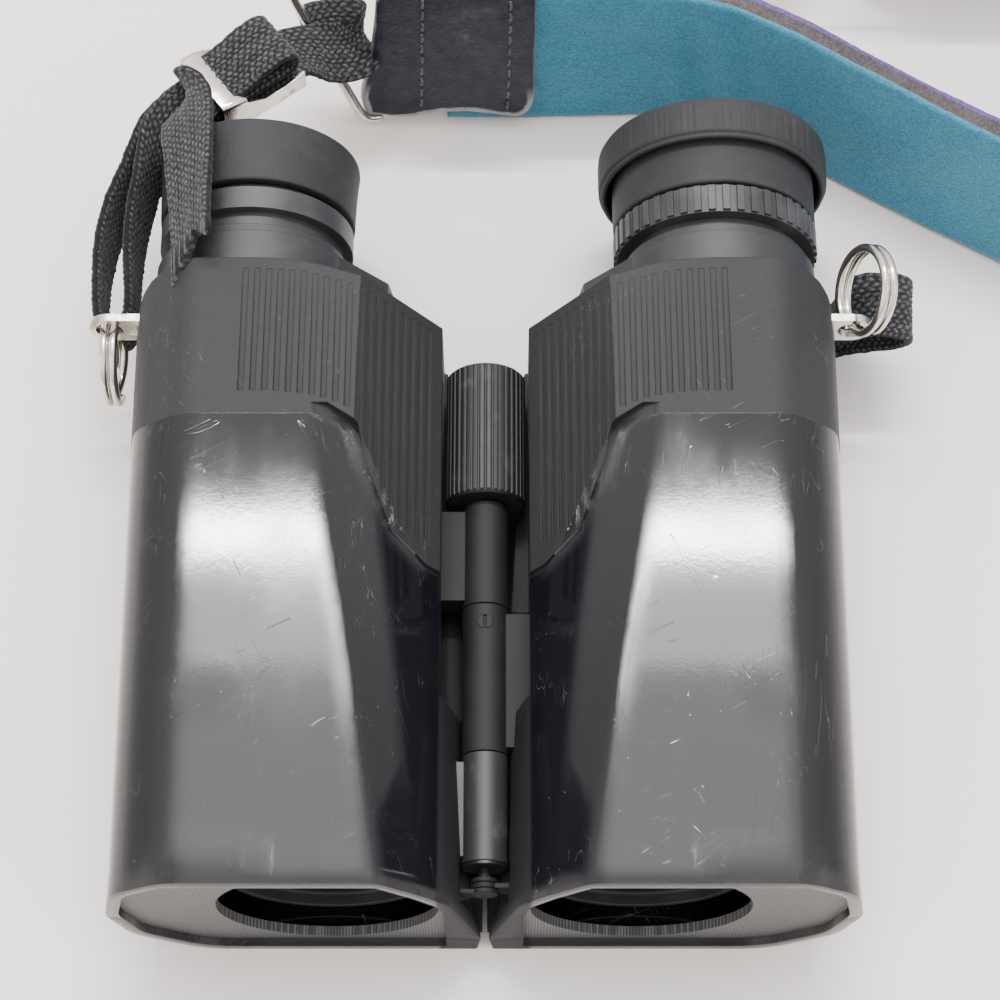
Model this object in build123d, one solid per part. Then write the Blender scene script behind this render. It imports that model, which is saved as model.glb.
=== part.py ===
# Compact reverse-Porro binoculars on their neck strap, lying flat on a table.
#
# Every piece is built in a construction frame whose Y = 0 is the front face of the housings:
# X points to the right-hand barrel, Y from the objectives to the eyepieces, Z up from the table.
# Each piece is moved by half the length when it is written, so that the origin of the part is at
# the middle of its base. The right barrel is modelled and the left one is its mirror image.

import os
from math import asin, atan, cos, degrees, pi, radians, sin, tan

from build123d import *

# ---------------------------------------------------------------- driving sizes, millimetres
total_length = 123.4
housing_length = 96.3
housing_top = 35.4
wall = 1.8
lip_depth = 3.0
lip_top = 32.9
floor_cut = 0.1

objective_x = 22.0
objective_z = 18.6
window_radius = 15.6
cell_radius = 14.4
cell_bore = 13.5
cell_y = 5.2
cell_length = 16.0
cell_taper = 1.3
lens_radius = 12.25

eyepiece_x = 36.0
eyepiece_z = 20.0
eyetube_radius = 13.5
eyetube_bore = 12.0
eyecup_radius = 16.0
folded_cup_radius = 18.0
running_gap = 0.05

hinge_z = 14.5
knuckle_radius = 3.35
knuckle_room = 3.75
axle_radius = 1.9
push_rod_radius = 0.9
knob_radius = 6.1
knob_start = 64.6
knob_end = 86.5
bridge_y = 4.1
front_knuckle = (8.4, 24.5)
middle_knuckle = (24.7, 47.5)
rear_knuckle = (47.7, 64.2)
recess_x = 6.6
recess_start = 31.0

set_screw_y = 44.6
boss_radius = 2.1

prism_plate_y = (60.5, 62.5)
prism_shift = 10.0
prism_width = 11.0

seam_z = 5.5
seam_slope = 0.236

flank_end = 101.2
collar_start = 96.3

lug_y = 90.6
lug_x = 57.6
right_lug_x = 56.0
lug_z = 24.0
lug_hole = 2.1
lug_plate = 1.2
ring_radius = 6.6
ring_wire = 0.7

webbing_tube = 2.0
keeper_length = 15.5
keeper_width = 12.7
keeper_height = 8.2
keeper_sheet = 0.6
keeper_bar = 4.6
strap_height = 30.5
pad_thickness = 4.0
loop_wire = 0.65
loop_width = 11.8
tab_length = 26.0
left_tab_x = -18.0
left_tab_y = 146.4
right_tab_x = 66.0
right_tab_y = 174.6

# Corners of the barrel's outline, seen from the front: x, z, and the radius of the rounded
# corner. The same corners at the front face and, pulled apart, at the rear end of the housing.
front_corners = [
    (1.2, -floor_cut, 0.8),
    (41.0, -floor_cut, 12.0),
    (50.6, 8.6, 9.0),
    (53.0, 19.0, 7.0),
    (51.0, 29.5, 7.0),
    (43.5, 35.4, 7.0),
    (14.5, 35.4, 3.5),
    (8.6, 29.0, 4.0),
    (4.9, 24.0, 5.0),
    (0.6, 6.0, 0.8),
]
rear_corners = [
    (4.0, -floor_cut, 0.8),
    (42.0, -floor_cut, 12.0),
    (51.8, 8.6, 9.0),
    (54.3, 19.0, 7.0),
    (52.3, 29.5, 7.0),
    (45.0, 35.4, 7.0),
    (29.0, 35.4, 3.0),
    (21.5, 34.2, 3.0),
    (8.4, 20.4, 5.0),
    (6.0, 6.0, 0.8),
]
# Side view of the prism housing's inner shoulder: a 45 degree facet above an upright wall.
shoulder_top = 35.38
shoulder_flat_x = 18.6
shoulder_outer_x = 39.0
shoulder_start = 50.0
flat_step_y = 72.0
# Plan view of the housing's rear edge: x, y from the inner corner to the straight part,
# and on round the outer corner.
rear_line = [(6.6, 90.7), (15.9, 92.7), (19.3, 93.4), (24.3, 95.0), (28.2, 95.9), (34.0, 96.3)]
rear_corner_line = [(45.0, 96.3), (48.5, 95.8), (50.6, 94.7), (52.0, 93.2), (53.4, 90.6), (55.0, 86.5)]
# Side view of the ledge that closes the slot under the hinge: y, z.
ledge_line = [(1.4, 5.8), (7.0, 11.0), (8.6, 10.2), (recess_start, 10.2), (recess_start, 8.5)]
ledge_gap = 0.35

# Fine grooves of the grip: the first one's x, and their pitch along the surface.
groove_first_x = 35.8
groove_pitch = 1.74
groove_count = 20
groove_width = 0.85
groove_depth = 0.45
groove_rear_room = 1.8
# Front ends of the grooves on the facet, from the top edge down to the hinge slot.
facet_groove_fronts = (68.4, 65.4, 60.9, 56.6, 54.4, 54.4, 54.4, 54.4, 54.4)


# ---------------------------------------------------------------- small helpers
def block(x0, x1, y0, y1, z0, z1):
    size = (x1 - x0, y1 - y0, z1 - z0)
    middle = ((x0 + x1) / 2, (y0 + y1) / 2, (z0 + z1) / 2)
    return Pos(*middle) * Box(*size)


def rod(x, z, radius, y0, y1):
    return Pos(x, (y0 + y1) / 2, z) * Rot(90, 0, 0) * Cylinder(radius, y1 - y0)


def pipe(x, z, outer, inner, y0, y1):
    return rod(x, z, outer, y0, y1) - rod(x, z, inner, y0 - 1, y1 + 1)


def taper(x, z, front_radius, rear_radius, y0, y1):
    return Pos(x, (y0 + y1) / 2, z) * Rot(-90, 0, 0) * Cone(front_radius, rear_radius, y1 - y0)


def post(x, y, radius, z0, z1):
    return Pos(x, y, (z0 + z1) / 2) * Cylinder(radius, z1 - z0)


def prism_of(points, y0, y1):
    """A straight bar along Y whose section has these x, z corners."""
    section = Plane.XZ.offset(-y0) * make_face(Polyline(*points, close=True))
    return extrude(section, -(y1 - y0))


def corners_at(y):
    share = y / housing_length
    return [
        tuple(f + (r - f) * share for f, r in zip(front, rear))
        for front, rear in zip(front_corners, rear_corners)
    ]


def inset(corners, gap):
    """The same outline moved inwards by gap, its corner radii made smaller to suit."""
    moved = []
    count = len(corners)
    for i in range(count):
        before = Vector(*corners[i - 1][:2])
        here = Vector(*corners[i][:2])
        after = Vector(*corners[(i + 1) % count][:2])
        along_in = (here - before).normalized()
        along_out = (after - here).normalized()
        normal_in = Vector(-along_in.Y, along_in.X)
        normal_out = Vector(-along_out.Y, along_out.X)
        bisector = (normal_in + normal_out).normalized()
        reach = gap / bisector.dot(normal_in)
        point = here + bisector * reach
        moved.append((point.X, point.Y, max(corners[i][2] - gap, 0.5)))
    return moved


def outline_face(corners, y):
    points = [(x, z) for x, z, _ in corners]
    radii = [r for _, _, r in corners]
    return Plane.XZ.offset(-y) * make_face(FilletPolyline(*points, radius=radii, close=True))


def outline_solid(y0, y1, gap=0.0):
    ends = [
        outline_face(inset(corners_at(y), gap) if gap else corners_at(y), y) for y in (y0, y1)
    ]
    return loft(ends, ruled=True)


def axis_ring(centre, normal, radius, wire):
    """A split ring: two coils of wire lying against each other."""
    place = Plane(origin=centre, z_dir=normal)
    coil = Torus(radius, wire)
    return place * (Pos(0, 0, wire * 0.9) * coil + Pos(0, 0, -wire * 0.9) * coil)


# ---------------------------------------------------------------- housing of one barrel
def shoulder():
    """The prism housing's inner corner, which carries the grooved grip."""
    drop = shoulder_flat_x - recess_x
    bar = prism_of(
        [
            (recess_x, 1.5),
            (recess_x, shoulder_top - drop),
            (shoulder_flat_x, shoulder_top),
            (shoulder_outer_x, shoulder_top),
            (shoulder_outer_x, 1.5),
        ],
        shoulder_start,
        housing_length,
    )
    # its front edge steps down over the tapering barrel in front of it
    front_edge = Polyline(
        (recess_x - 1, shoulder_start - 1),
        (recess_x - 1, shoulder_start),
        (8.5, 50.5),
        (13.5, 54.0),
        (16.6, 62.0),
        (18.5, 69.0),
        (23.0, flat_step_y),
        (shoulder_outer_x + 1, flat_step_y),
        (shoulder_outer_x + 1, shoulder_start - 1),
        close=True,
    )
    return bar - Pos(0, 0, 20) * extrude(make_face(front_edge), 40)


def behind_slant(gap):
    """Everything behind the slanted rear wall beside the knob, from this far in front of it."""
    line = Polyline(
        (recess_x - 3, rear_line[0][1] - 1.0 - gap),
        *[(x, y - gap) for x, y in rear_line + rear_corner_line],
        (80, rear_corner_line[-1][1] - gap),
        (80, housing_length + 30),
        (recess_x - 3, housing_length + 30),
        close=True,
    )
    return Pos(0, 0, -5) * extrude(make_face(line), 60)


def rear_edge(x):
    """How far back the housing reaches at this x."""
    for (x0, y0), (x1, y1) in zip(rear_line, rear_line[1:]):
        if x <= x1:
            return y0 + (y1 - y0) * (x - x0) / (x1 - x0)
    return housing_length


def grooves():
    """Fine straight grooves of the grip, across the flat top and on down the facet."""
    drop = shoulder_flat_x - recess_x
    flat_room = groove_first_x - shoulder_flat_x
    bars = []
    facet_count = 0
    for i in range(groove_count):
        along = i * groove_pitch
        if along < flat_room:
            x = groove_first_x - along
            z = shoulder_top
            tilt_angle = 0
            front = 74.0 - 3.4 * (along / flat_room) ** 3
        else:
            down = (along - flat_room) / 2**0.5
            if down > drop - 0.8:
                break
            x = shoulder_flat_x - down
            z = shoulder_top - down
            tilt_angle = -45
            front = facet_groove_fronts[facet_count]
            facet_count += 1
        rear = rear_edge(x) - groove_rear_room
        # deepest in front, running out at the rear
        run_out = degrees(atan((groove_depth - 0.05) / (rear - front)))
        bar = Rot(run_out, 0, 0) * Pos(0, 0, 0.75) * Box(groove_width, rear - front, 2.0)
        bars.append(Pos(x, (front + rear) / 2, z) * Rot(0, tilt_angle, 0) * bar)
    return bars


def screw_places():
    """x, y of the four screws that hold the lower shell to the upper one."""
    return [(39.6, 27.0), (40.0, 78.0), (13.4, 36.0), (13.4, 77.0)]


def seam_at(x):
    return seam_z + seam_slope * x


def below_seam():
    """A large block whose sloping top is the joint between the two shells."""
    return prism_of(
        [(-2, -2), (70, -2), (70, seam_at(70)), (-2, seam_at(-2))], -5, housing_length + 30
    )


def housing():
    """Both shells in one, with bosses, before they are parted along the seam."""
    outside = outline_solid(0, housing_length) + shoulder()
    for bar in grooves():
        outside -= bar
    outside -= block(-10, 70, -10, 120, -5, 0) + behind_slant(0)
    hollow = outline_solid(-0.5, housing_length, wall)
    # the front lip is thicker along the top, where it cuts the window off flat
    hollow -= block(-10, 70, -5, lip_depth, lip_top, 50)
    drop = shoulder_flat_x - recess_x
    inner_flat = shoulder_flat_x + 0.8
    hollow += prism_of(
        [
            (recess_x + wall, 4),
            (recess_x + wall, shoulder_top - drop - 1.0),
            (inner_flat, shoulder_top - wall - 0.2),
            (34, shoulder_top - wall - 0.2),
            (34, 4),
        ],
        flat_step_y + wall,
        housing_length,
    )
    hollow -= behind_slant(wall)
    hollow -= block(-10, 5.6, -10, 120, -10, 60)
    hollow -= block(-10, recess_x + wall, recess_start - 2, 120, -10, 60)
    solid = outside - hollow
    # the open slot between the barrels that holds the hinge and the focus knob
    solid -= block(-10, recess_x, recess_start, 120, ledge_line[-1][1], 60)
    # below it the two housings nearly meet, and their front ends slope down in a valley
    profile = Polyline(*ledge_line, (ledge_line[-1][0], 4.0), (ledge_line[0][0], 4.0), close=True)
    solid += Pos(ledge_gap, 0, 0) * extrude(Plane.YZ * make_face(profile), 4.6 - ledge_gap)
    solid -= rod(0, hinge_z, knuckle_room, front_knuckle[0] - 0.4, recess_start + 1)
    # room for the focus bridge in front of the hinge
    solid -= block(-1, 6.0, bridge_y - 1.7, front_knuckle[0], hinge_z - 2.6, hinge_z + 2.6)
    for x, y in screw_places():
        boss = post(x, y, boss_radius, wall - 0.5, housing_top - 1.0)
        if x < objective_x:
            # the inner bosses stand low, beside the prisms, and lean on the inner wall
            boss = post(x, y, boss_radius, wall - 0.5, 16.0)
            boss += block(recess_x + 0.5, x, y - 1.2, y + 1.2, 3.0, hinge_z - 4.0)
        solid += boss & outline_solid(0.5, housing_length - 0.5, 0.6)
        solid -= post(x, y, 1.2, -1, seam_at(x))
        solid -= post(x, y, 2.1, -1, 2.3)
        solid -= post(x, y, 0.85, seam_at(x) - 0.5, seam_at(x) + 4.0)
    # the eyepiece leaves through the rear wall, and the strap lug through the side
    solid -= rod(eyepiece_x, eyepiece_z, eyetube_radius + 0.6, housing_length - 8, 120)
    solid -= block(50, 70, lug_y - lug_plate / 2, lug_y + lug_plate / 2, lug_z - 3.2, lug_z + 3.2)
    return solid


def front_plate():
    plate = outline_face(inset(corners_at(1.2), wall + 0.06), 1.2)
    plate = extrude(plate, -1.4) - block(-10, 5.6, -10, 20, -10, 60)
    plate -= block(-10, 70, -10, 20, lip_top - 0.06, 60)
    plate -= rod(objective_x, objective_z, window_radius, -5, 10)
    # the window runs out through the top edge, and leaves a crumb beside it
    return plate.solids().sort_by(SortBy.VOLUME)[-1]


def cell_inner(along):
    """Radius of the objective cell's bore, this far behind its front edge."""
    return cell_bore - cell_taper * along / cell_length


def objective_cell():
    """Tapering tube that slides in the barrel, with anti-glare ridges before the lens."""
    y0 = cell_y
    y1 = cell_y + cell_length
    outside = taper(objective_x, objective_z, cell_radius, cell_radius - cell_taper, y0, y1)
    bore = taper(objective_x, objective_z, cell_bore, cell_bore - cell_taper, y0 - 0.01, y1 + 0.01)
    cell = outside - bore
    for i in range(5):
        along = 1.6 + i * 1.8
        r = cell_inner(along)
        cell += pipe(objective_x, objective_z, r + 0.3, r - 0.7, y0 + along, y0 + along + 0.5)
    # the shoulder that the lens is cemented against
    r = cell_inner(cell_length - 1.5)
    return cell + pipe(
        objective_x, objective_z, r + 0.3, lens_radius - 1.2, y1 - 1.6, y1 - 0.4
    )


def objective_lens():
    """A cemented doublet as one biconvex glass, in front of its seat."""
    rear = cell_y + cell_length - 1.62
    face = rear - 3.4
    glass = rod(objective_x, objective_z, lens_radius, face, rear)
    bulge = 60.0
    return glass & Pos(objective_x, face + bulge, objective_z) * Sphere(bulge)


def half_prism(centre_x, centre_z, angle, y_face, point):
    """A right-angled prism: long face at y_face, ridge towards point (+1 rear, -1 front)."""
    half = prism_shift
    section = Polyline((-half, 0), (half, 0), (0, point * half), close=True)
    glass = extrude(make_face(section), prism_width / 2, both=True)
    # the section lies in X-Y and its thickness along Z, then it turns about Y
    return Pos(centre_x, y_face, centre_z) * Rot(0, angle, 0) * glass


tilt = degrees(asin((eyepiece_z - objective_z) / (prism_shift * 2**0.5)))
first_angle = tilt - 45.0
second_angle = tilt + 45.0
middle_x = objective_x + prism_shift * cos(radians(first_angle))
middle_z = objective_z + prism_shift * sin(radians(first_angle))


def rear_prism():
    x = (objective_x + middle_x) / 2
    z = (objective_z + middle_z) / 2
    return half_prism(x, z, -first_angle, prism_plate_y[1], 1)


def front_prism():
    x = (middle_x + eyepiece_x) / 2
    z = (middle_z + eyepiece_z) / 2
    return half_prism(x, z, -second_angle, prism_plate_y[0], -1)


def prism_clips():
    """Two spring clips of thin sheet that press the prisms' ridges against the plate."""
    clips = Part()
    for x0, z0, angle, face, point in (
        ((objective_x + middle_x) / 2, (objective_z + middle_z) / 2, -first_angle, prism_plate_y[1], 1),
        ((middle_x + eyepiece_x) / 2, (middle_z + eyepiece_z) / 2, -second_angle, prism_plate_y[0], -1),
    ):
        reach = prism_shift + 0.05
        leg = Pos(0, point * reach / 2, 0) * Box(3.0, reach, 0.5)
        bar = Pos(0, point * (reach + 0.25), 0) * Box(3.0, 0.5, prism_width + 1.7)
        up = Pos(0, 0, prism_width / 2 + 0.6) * leg
        down = Pos(0, 0, -prism_width / 2 - 0.6) * leg
        clips += Pos(x0, face, z0) * Rot(0, angle, 0) * (up + down + bar)
    return clips


def prism_plate(arm_y):
    """Die-cast plate between the prisms with the hinge arm and knuckle cast on."""
    y0, y1 = prism_plate_y
    room = outline_solid(0.5, housing_length - 0.5, wall + 0.3)
    plate = block(recess_x + wall + 0.2, 46, y0, y1, 3.0, 31.0) & room
    for x, z in ((objective_x, objective_z), (middle_x, middle_z), (eyepiece_x, eyepiece_z)):
        plate -= rod(x, z, 4.6, y0 - 1, y1 + 1)
    arm0, arm1 = arm_y
    rail = block(recess_x + wall + 0.2, recess_x + wall + 2.0, arm0 + 1, y1, hinge_z - 3.0, hinge_z + 3.0)
    arm = block(1.0, recess_x + wall + 0.6, arm0 + 1, arm1 - 1, hinge_z - 2.6, hinge_z + 1.4)
    knuckle = rod(0, hinge_z, knuckle_radius, arm0, arm1)
    whole = plate + rail + arm + knuckle
    whole -= rod(0, hinge_z, axle_radius + running_gap, arm0 - 5, arm1 + 5)
    if arm0 < set_screw_y < arm1:
        whole -= post(0, set_screw_y, 1.1, hinge_z + 2.2, hinge_z + 5)
    return whole


def arm_slot(arm_y, x1=recess_x + wall + 0.25):
    return block(0.0, x1, arm_y[0] + 1, arm_y[1] - 1, hinge_z - 2.6, hinge_z + 1.4)


def front_hinge_lug():
    """Front knuckle of the hinge, let into the thick inner wall of the shell."""
    y0, y1 = front_knuckle
    arm = block(1.0, 5.0, y0 + 1, y1 - 1, hinge_z - 2.6, hinge_z + 1.4)
    lug = arm + rod(0, hinge_z, knuckle_radius, y0, y1)
    return lug - rod(0, hinge_z, axle_radius + running_gap, y0 - 5, y1 + 5)


def rear_flank():
    """Sloping flank that leads from the collar down to the housing's inner corner."""
    bar = prism_of(
        [
            (36.0, 31.0),
            (25.0, 30.3),
            (21.4, 25.8),
            (15.4, 18.8),
            (13.6, 13.0),
            (15.5, 7.2),
            (24.0, 5.6),
            (36.0, 5.6),
        ],
        recess_start,
        flank_end,
    )
    # its front lies against the housing, and its inner end is slanted
    inner_end = Polyline((0, 85.0), (9.0, 93.0), (16.6, 103.0), (0, 103.0), close=True)
    return (bar & behind_slant(-0.02)) - extrude(make_face(inner_end), 50)


def rear_cap():
    """Ring that closes the rear wall round the eyepiece, with the collar behind it."""
    bore = eyetube_radius + running_gap
    seat = pipe(eyepiece_x, eyepiece_z, eyetube_radius + 0.6, bore, 88.5, collar_start)
    collar = pipe(eyepiece_x, eyepiece_z, 15.3, bore, collar_start, flank_end)
    step = pipe(eyepiece_x, eyepiece_z, 14.4, bore, flank_end, 102.9)
    return seat + collar + step + (rear_flank() - rod(eyepiece_x, eyepiece_z, bore, 80, 120))


def strap_lug(hole_x):
    plate = block(51.0, hole_x, lug_y - lug_plate / 2, lug_y + lug_plate / 2, lug_z - 3.1, lug_z + 3.1)
    plate += Pos(hole_x, lug_y, lug_z) * Rot(90, 0, 0) * Cylinder(3.1, lug_plate)
    foot = block(50.4, 51.6, lug_y - 4, lug_y + 1.0, lug_z - 3.1, lug_z + 3.1)
    room = outline_solid(40, housing_length - 0.5, wall + 0.1)
    plate += foot & room
    return plate - rod(hole_x, lug_z, lug_hole, lug_y - 3, lug_y + 3)


def shell_screws():
    screws = Part()
    for x, y in screw_places():
        head = post(x, y, 2.0, 0.9, 2.3)
        slot = block(x - 0.25, x + 0.25, y - 3, y + 3, 0, 1.5)
        screws += (head - slot) + post(x, y, 0.85, 2.2, seam_at(x) + 4.0)
    return screws


# ---------------------------------------------------------------- eyepieces
def eye_lens(y):
    glass = rod(eyepiece_x, eyepiece_z, eyetube_bore - 0.02, y, y + 4.0)
    bulge = 34.0
    rear = Pos(eyepiece_x, y + 4.0 - bulge, eyepiece_z) * Sphere(bulge)
    return glass & rear


def field_lens(y):
    glass = rod(eyepiece_x, eyepiece_z, eyetube_bore - 0.02, y, y + 3.5)
    bulge = 30.0
    front = Pos(eyepiece_x, y + bulge, eyepiece_z) * Sphere(bulge)
    return glass & front


def lens_spacer(y0, y1):
    return pipe(eyepiece_x, eyepiece_z, eyetube_bore - 0.02, 10.6, y0, y1)


def field_stop(y):
    return pipe(eyepiece_x, eyepiece_z, eyetube_bore - 0.02, 6.5, y, y + 1.0)


def fixed_eyetube():
    tube = pipe(eyepiece_x, eyepiece_z, eyetube_radius, eyetube_bore, 84.0, 116.0)
    tube += pipe(eyepiece_x, eyepiece_z, 15.1, eyetube_bore, 105.3, 109.0)
    return tube


def raised_eyecup():
    cup = pipe(eyepiece_x, eyepiece_z, eyecup_radius, eyetube_radius, 109.0, 116.0)
    cup += pipe(eyepiece_x, eyepiece_z, eyecup_radius, eyecup_radius - 1.7, 115.9, 120.8)
    base = pipe(eyepiece_x, eyepiece_z, 20, 15.3, 108.9, 110.4)
    return cup - base


def sliding_eyetube():
    return pipe(eyepiece_x, eyepiece_z, eyetube_radius, eyetube_bore, 84.0, 118.0)


def folded_eyecup():
    sleeve = pipe(eyepiece_x, eyepiece_z, 15.9, eyetube_radius, 109.4, 122.4)
    bead = pipe(eyepiece_x, eyepiece_z, 17.4, eyetube_radius, 121.9, total_length)
    cuff = pipe(eyepiece_x, eyepiece_z, folded_cup_radius, 16.3, 116.4, 122.4)
    return sleeve + bead + cuff


def diopter_ring():
    ring = pipe(eyepiece_x, eyepiece_z, 15.5, eyetube_radius + running_gap, 104.3, 109.0)
    teeth = 45
    for i in range(teeth):
        turn = Pos(eyepiece_x, 0, eyepiece_z) * Rot(0, 360 / teeth * i, 0)
        ring += turn * block(15.3, 15.95, 104.5, 108.8, -0.55, 0.55)
    return ring


# ---------------------------------------------------------------- hinge and focusing
def hinge_axle():
    front = front_knuckle[0]
    axle = rod(0, hinge_z, axle_radius, front - 0.5, knob_end - 4.0)
    head = rod(0, hinge_z, knuckle_radius - 0.2, front - 0.5, front)
    return axle + head - rod(0, hinge_z, push_rod_radius + running_gap, 0, 100)


def focus_knob():
    knob = rod(0, hinge_z, knob_radius, knob_start, knob_end)
    knob = chamfer(knob.edges().filter_by(GeomType.CIRCLE), 0.5)
    flutes = 36
    for i in range(flutes):
        turn = Pos(0, 0, hinge_z) * Rot(0, 360 / flutes * i, 0)
        knob -= turn * Pos(knob_radius, (knob_start + knob_end) / 2, 0) * Rot(90, 0, 0) * Cylinder(
            0.22, knob_end - knob_start + 1
        )
    knob -= rod(0, hinge_z, axle_radius + running_gap, knob_start - 1, knob_end - 3.5)
    # the threaded end of the push rod runs in this blind hole
    return knob - rod(0, hinge_z, push_rod_radius + running_gap, knob_end - 5, knob_end - 0.6)


def knob_cap():
    """Disc that closes the knob's rear end."""
    return rod(0, hinge_z, 4.2, knob_end, knob_end + 0.5)


def set_screw():
    """Small slotted screw in the top of the middle knuckle."""
    screw = post(0, set_screw_y, 1.1, hinge_z + 2.2, hinge_z + knuckle_radius + 0.05)
    return screw - block(-0.2, 0.2, set_screw_y - 2, set_screw_y + 2, hinge_z + 3.0, hinge_z + 5)


def focus_bridge():
    """Push rod in the hollow axle, its front boss and the arm to the left objective cell."""
    y = bridge_y
    link = rod(0, hinge_z, push_rod_radius, y + 0.5, knob_end - 2.3)
    boss = rod(0, hinge_z, 1.9, y, y + 0.6) + rod(0, hinge_z, 1.9, y + 1.6, y + 2.2)
    arm = block(-7.6, -1.0, y, y + 0.6, hinge_z - 1.2, hinge_z + 1.2)
    foot = block(-8.6, -6.9, y, y + 2.4, hinge_z - 1.2, hinge_z + 1.2)
    foot -= rod(-objective_x, objective_z, cell_radius, 0, 20)
    return link + boss + (arm - rod(-objective_x, objective_z, cell_radius, 0, 20)) + foot


def right_focus_arm():
    """Arm of the right objective cell: its eye turns between the two discs of the boss."""
    y0 = bridge_y + 0.75
    y1 = bridge_y + 1.45
    eye = rod(0, hinge_z, 1.9, y0, y1)
    arm = block(1.0, 8.2, y0, y1, hinge_z - 1.2, hinge_z + 1.2)
    foot = block(6.9, 8.6, y0, bridge_y + 2.4, hinge_z - 1.2, hinge_z + 1.2)
    whole = eye + arm + foot - rod(objective_x, objective_z, cell_radius, 0, 20)
    return whole - rod(0, hinge_z, push_rod_radius + running_gap, 0, 20)


# ---------------------------------------------------------------- neck strap
def corner_radii(points):
    """An arc at each corner: 0.45 of the shorter run over the tangent of half the turn."""
    radii = []
    for a, b, c in zip(points, points[1:], points[2:]):
        into = Vector(*b) - Vector(*a)
        out = Vector(*c) - Vector(*b)
        turn = radians(into.get_angle(out))
        radii.append(0.45 * min(into.length, out.length) / tan(turn / 2))
    return radii


def cord(name, points, diameter):
    radii = corner_radii(points)
    path = FilletPolyline(*points, radius=radii)
    start = Plane(origin=path @ 0, z_dir=path % 0)
    tube = sweep(start * Circle(diameter / 2), path=path)
    expected = pi * diameter**2 / 4 * path.length
    smallest = min(radii)
    print(
        f"{name}: length {path.length:.1f}, smallest radius {smallest:.1f}, "
        f"volume {tube.volume:.1f} of {expected:.1f}"
    )
    return tube


def wire_loop(tab_x, y, lean):
    """Bent wire standing upright in the tab's narrow end, its free side leaning by lean."""
    inner = tab_x + 2.2
    outer = inner - loop_width
    low = loop_wire + 0.3
    high = strap_height + 1.0
    shape = [(outer + lean, y, low), (inner, y, low), (inner, y, high), (outer, y, high)]
    path = FilletPolyline(*shape, radius=3.0, close=True)
    start = Plane(origin=path @ 0, z_dir=path % 0)
    return sweep(start * Circle(loop_wire), path=path)


def pad():
    """Foam pad standing on its long edge: along the back, then round and back again."""
    path = FilletPolyline(*pad_points, radius=corner_radii(pad_points))
    start = Plane(origin=path @ 0, x_dir=(0, 0, 1), z_dir=path % 0)
    strip = sweep(start * Rectangle(strap_height - 0.6, pad_thickness), path=path)
    strip = Pos(0, 0, strap_height / 2 + 0.3) * strip
    # a shallow notch where the pad bridges the webbing that passes under it
    x, y = pad_crossing
    return strip - Pos(x, y, 0) * Rot(0, 0, 25) * Box(11, 14, 2 * (webbing_tube + 0.9))


def leather_tab(x, y):
    """Folded leather sewn over the end of the pad; its narrow end holds the wire loop."""
    wide = block(x + 5, x + tab_length, y - 3.1, y + 3.1, 0.2, strap_height + 0.6)
    wide = fillet(wide.edges().filter_by(Axis.Y), 2.4)
    narrow = block(x, x + 9, y - 2.1, y + 2.1, 4.2, strap_height - 3.4)
    slot = block(x + 11, x + tab_length + 1, y - pad_thickness / 2, y + pad_thickness / 2, -1, 40)
    return wide + narrow - slot - post(x + 2.2, y, loop_wire + 0.1, -1, 40)


def keeper(centre, direction, upward):
    """Channel of bent sheet metal, closed over its entry end by a cross bar."""
    place = Plane(origin=centre, x_dir=direction, z_dir=upward)
    outside = Box(keeper_length, keeper_width, keeper_height)
    trough = Pos(0, 0, keeper_sheet) * Box(
        keeper_length + 1, keeper_width - 2 * keeper_sheet, keeper_height
    )
    bar = Pos((keeper_bar - keeper_length) / 2, 0, (keeper_height - keeper_sheet) / 2) * Box(
        keeper_bar, keeper_width, keeper_sheet
    )
    return place * (outside - trough + bar)


pad_points = [
    (-6.8, 146.4, 0),
    (20.5, 146.4, 0),
    (36.0, 143.6, 0),
    (49.0, 137.6, 0),
    (64.0, 129.0, 0),
    (80.0, 119.0, 0),
    (98.0, 110.5, 0),
    (118.0, 114.5, 0),
    (131.0, 131.0, 0),
    (131.5, 152.0, 0),
    (121.0, 169.0, 0),
    (102.5, 174.6, 0),
    (77.2, 174.6, 0),
]
pad_crossing = (41.8, 141.2)

left_webbing_points = [
    (-58.2, 92.2, 18.0),
    (-59.5, 92.5, 18.0),
    (-60.2, 94.0, 18.0),
    (-60.4, 97.6, 18.2),
    (-60.5, 104.0, 18.7),
    (-59.4, 111.0, 19.6),
    (-57.2, 117.0, 20.6),
    (-54.4, 122.4, 21.7),
    (-50.8, 127.4, 22.8),
    (-45.2, 131.6, 23.2),
    (-39.0, 136.4, 23.2),
    (-32.9, 141.1, 23.2),
    (-29.2, 143.4, 21.4),
    (-25.4, 144.4, 19.0),
    (-21.6, 146.0, 17.6),
    (-20.2, 148.6, 17.2),
    (-21.8, 151.0, 17.0),
    (-26.0, 150.4, 17.4),
    (-30.0, 148.4, 18.4),
]
left_return_points = [
    (-57.0, 92.4, 18.0),
    (-56.0, 92.8, 18.0),
    (-55.4, 94.2, 18.0),
    (-55.3, 97.6, 18.2),
    (-55.7, 103.4, 18.8),
    (-55.4, 109.6, 19.8),
    (-54.4, 115.6, 21.2),
    (-52.8, 121.0, 22.8),
    (-50.0, 126.2, 24.6),
    (-45.2, 131.6, 25.5),
    (-39.0, 136.4, 25.5),
    (-34.6, 139.8, 25.5),
    (-33.3, 140.8, 26.1),
    (-33.2, 140.9, 28.9),
    (-34.8, 139.6, 30.0),
    (-39.0, 136.4, 28.9),
    (-41.1, 134.7, 27.8),
    (-46.2, 130.8, 27.9),
    (-46.8, 127.8, 30.6),
    (-46.4, 122.2, 33.8),
    (-45.4, 114.4, 35.6),
    (-44.8, 106.4, 35.8),
    (-44.2, 99.2, 36.6),
]
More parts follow.
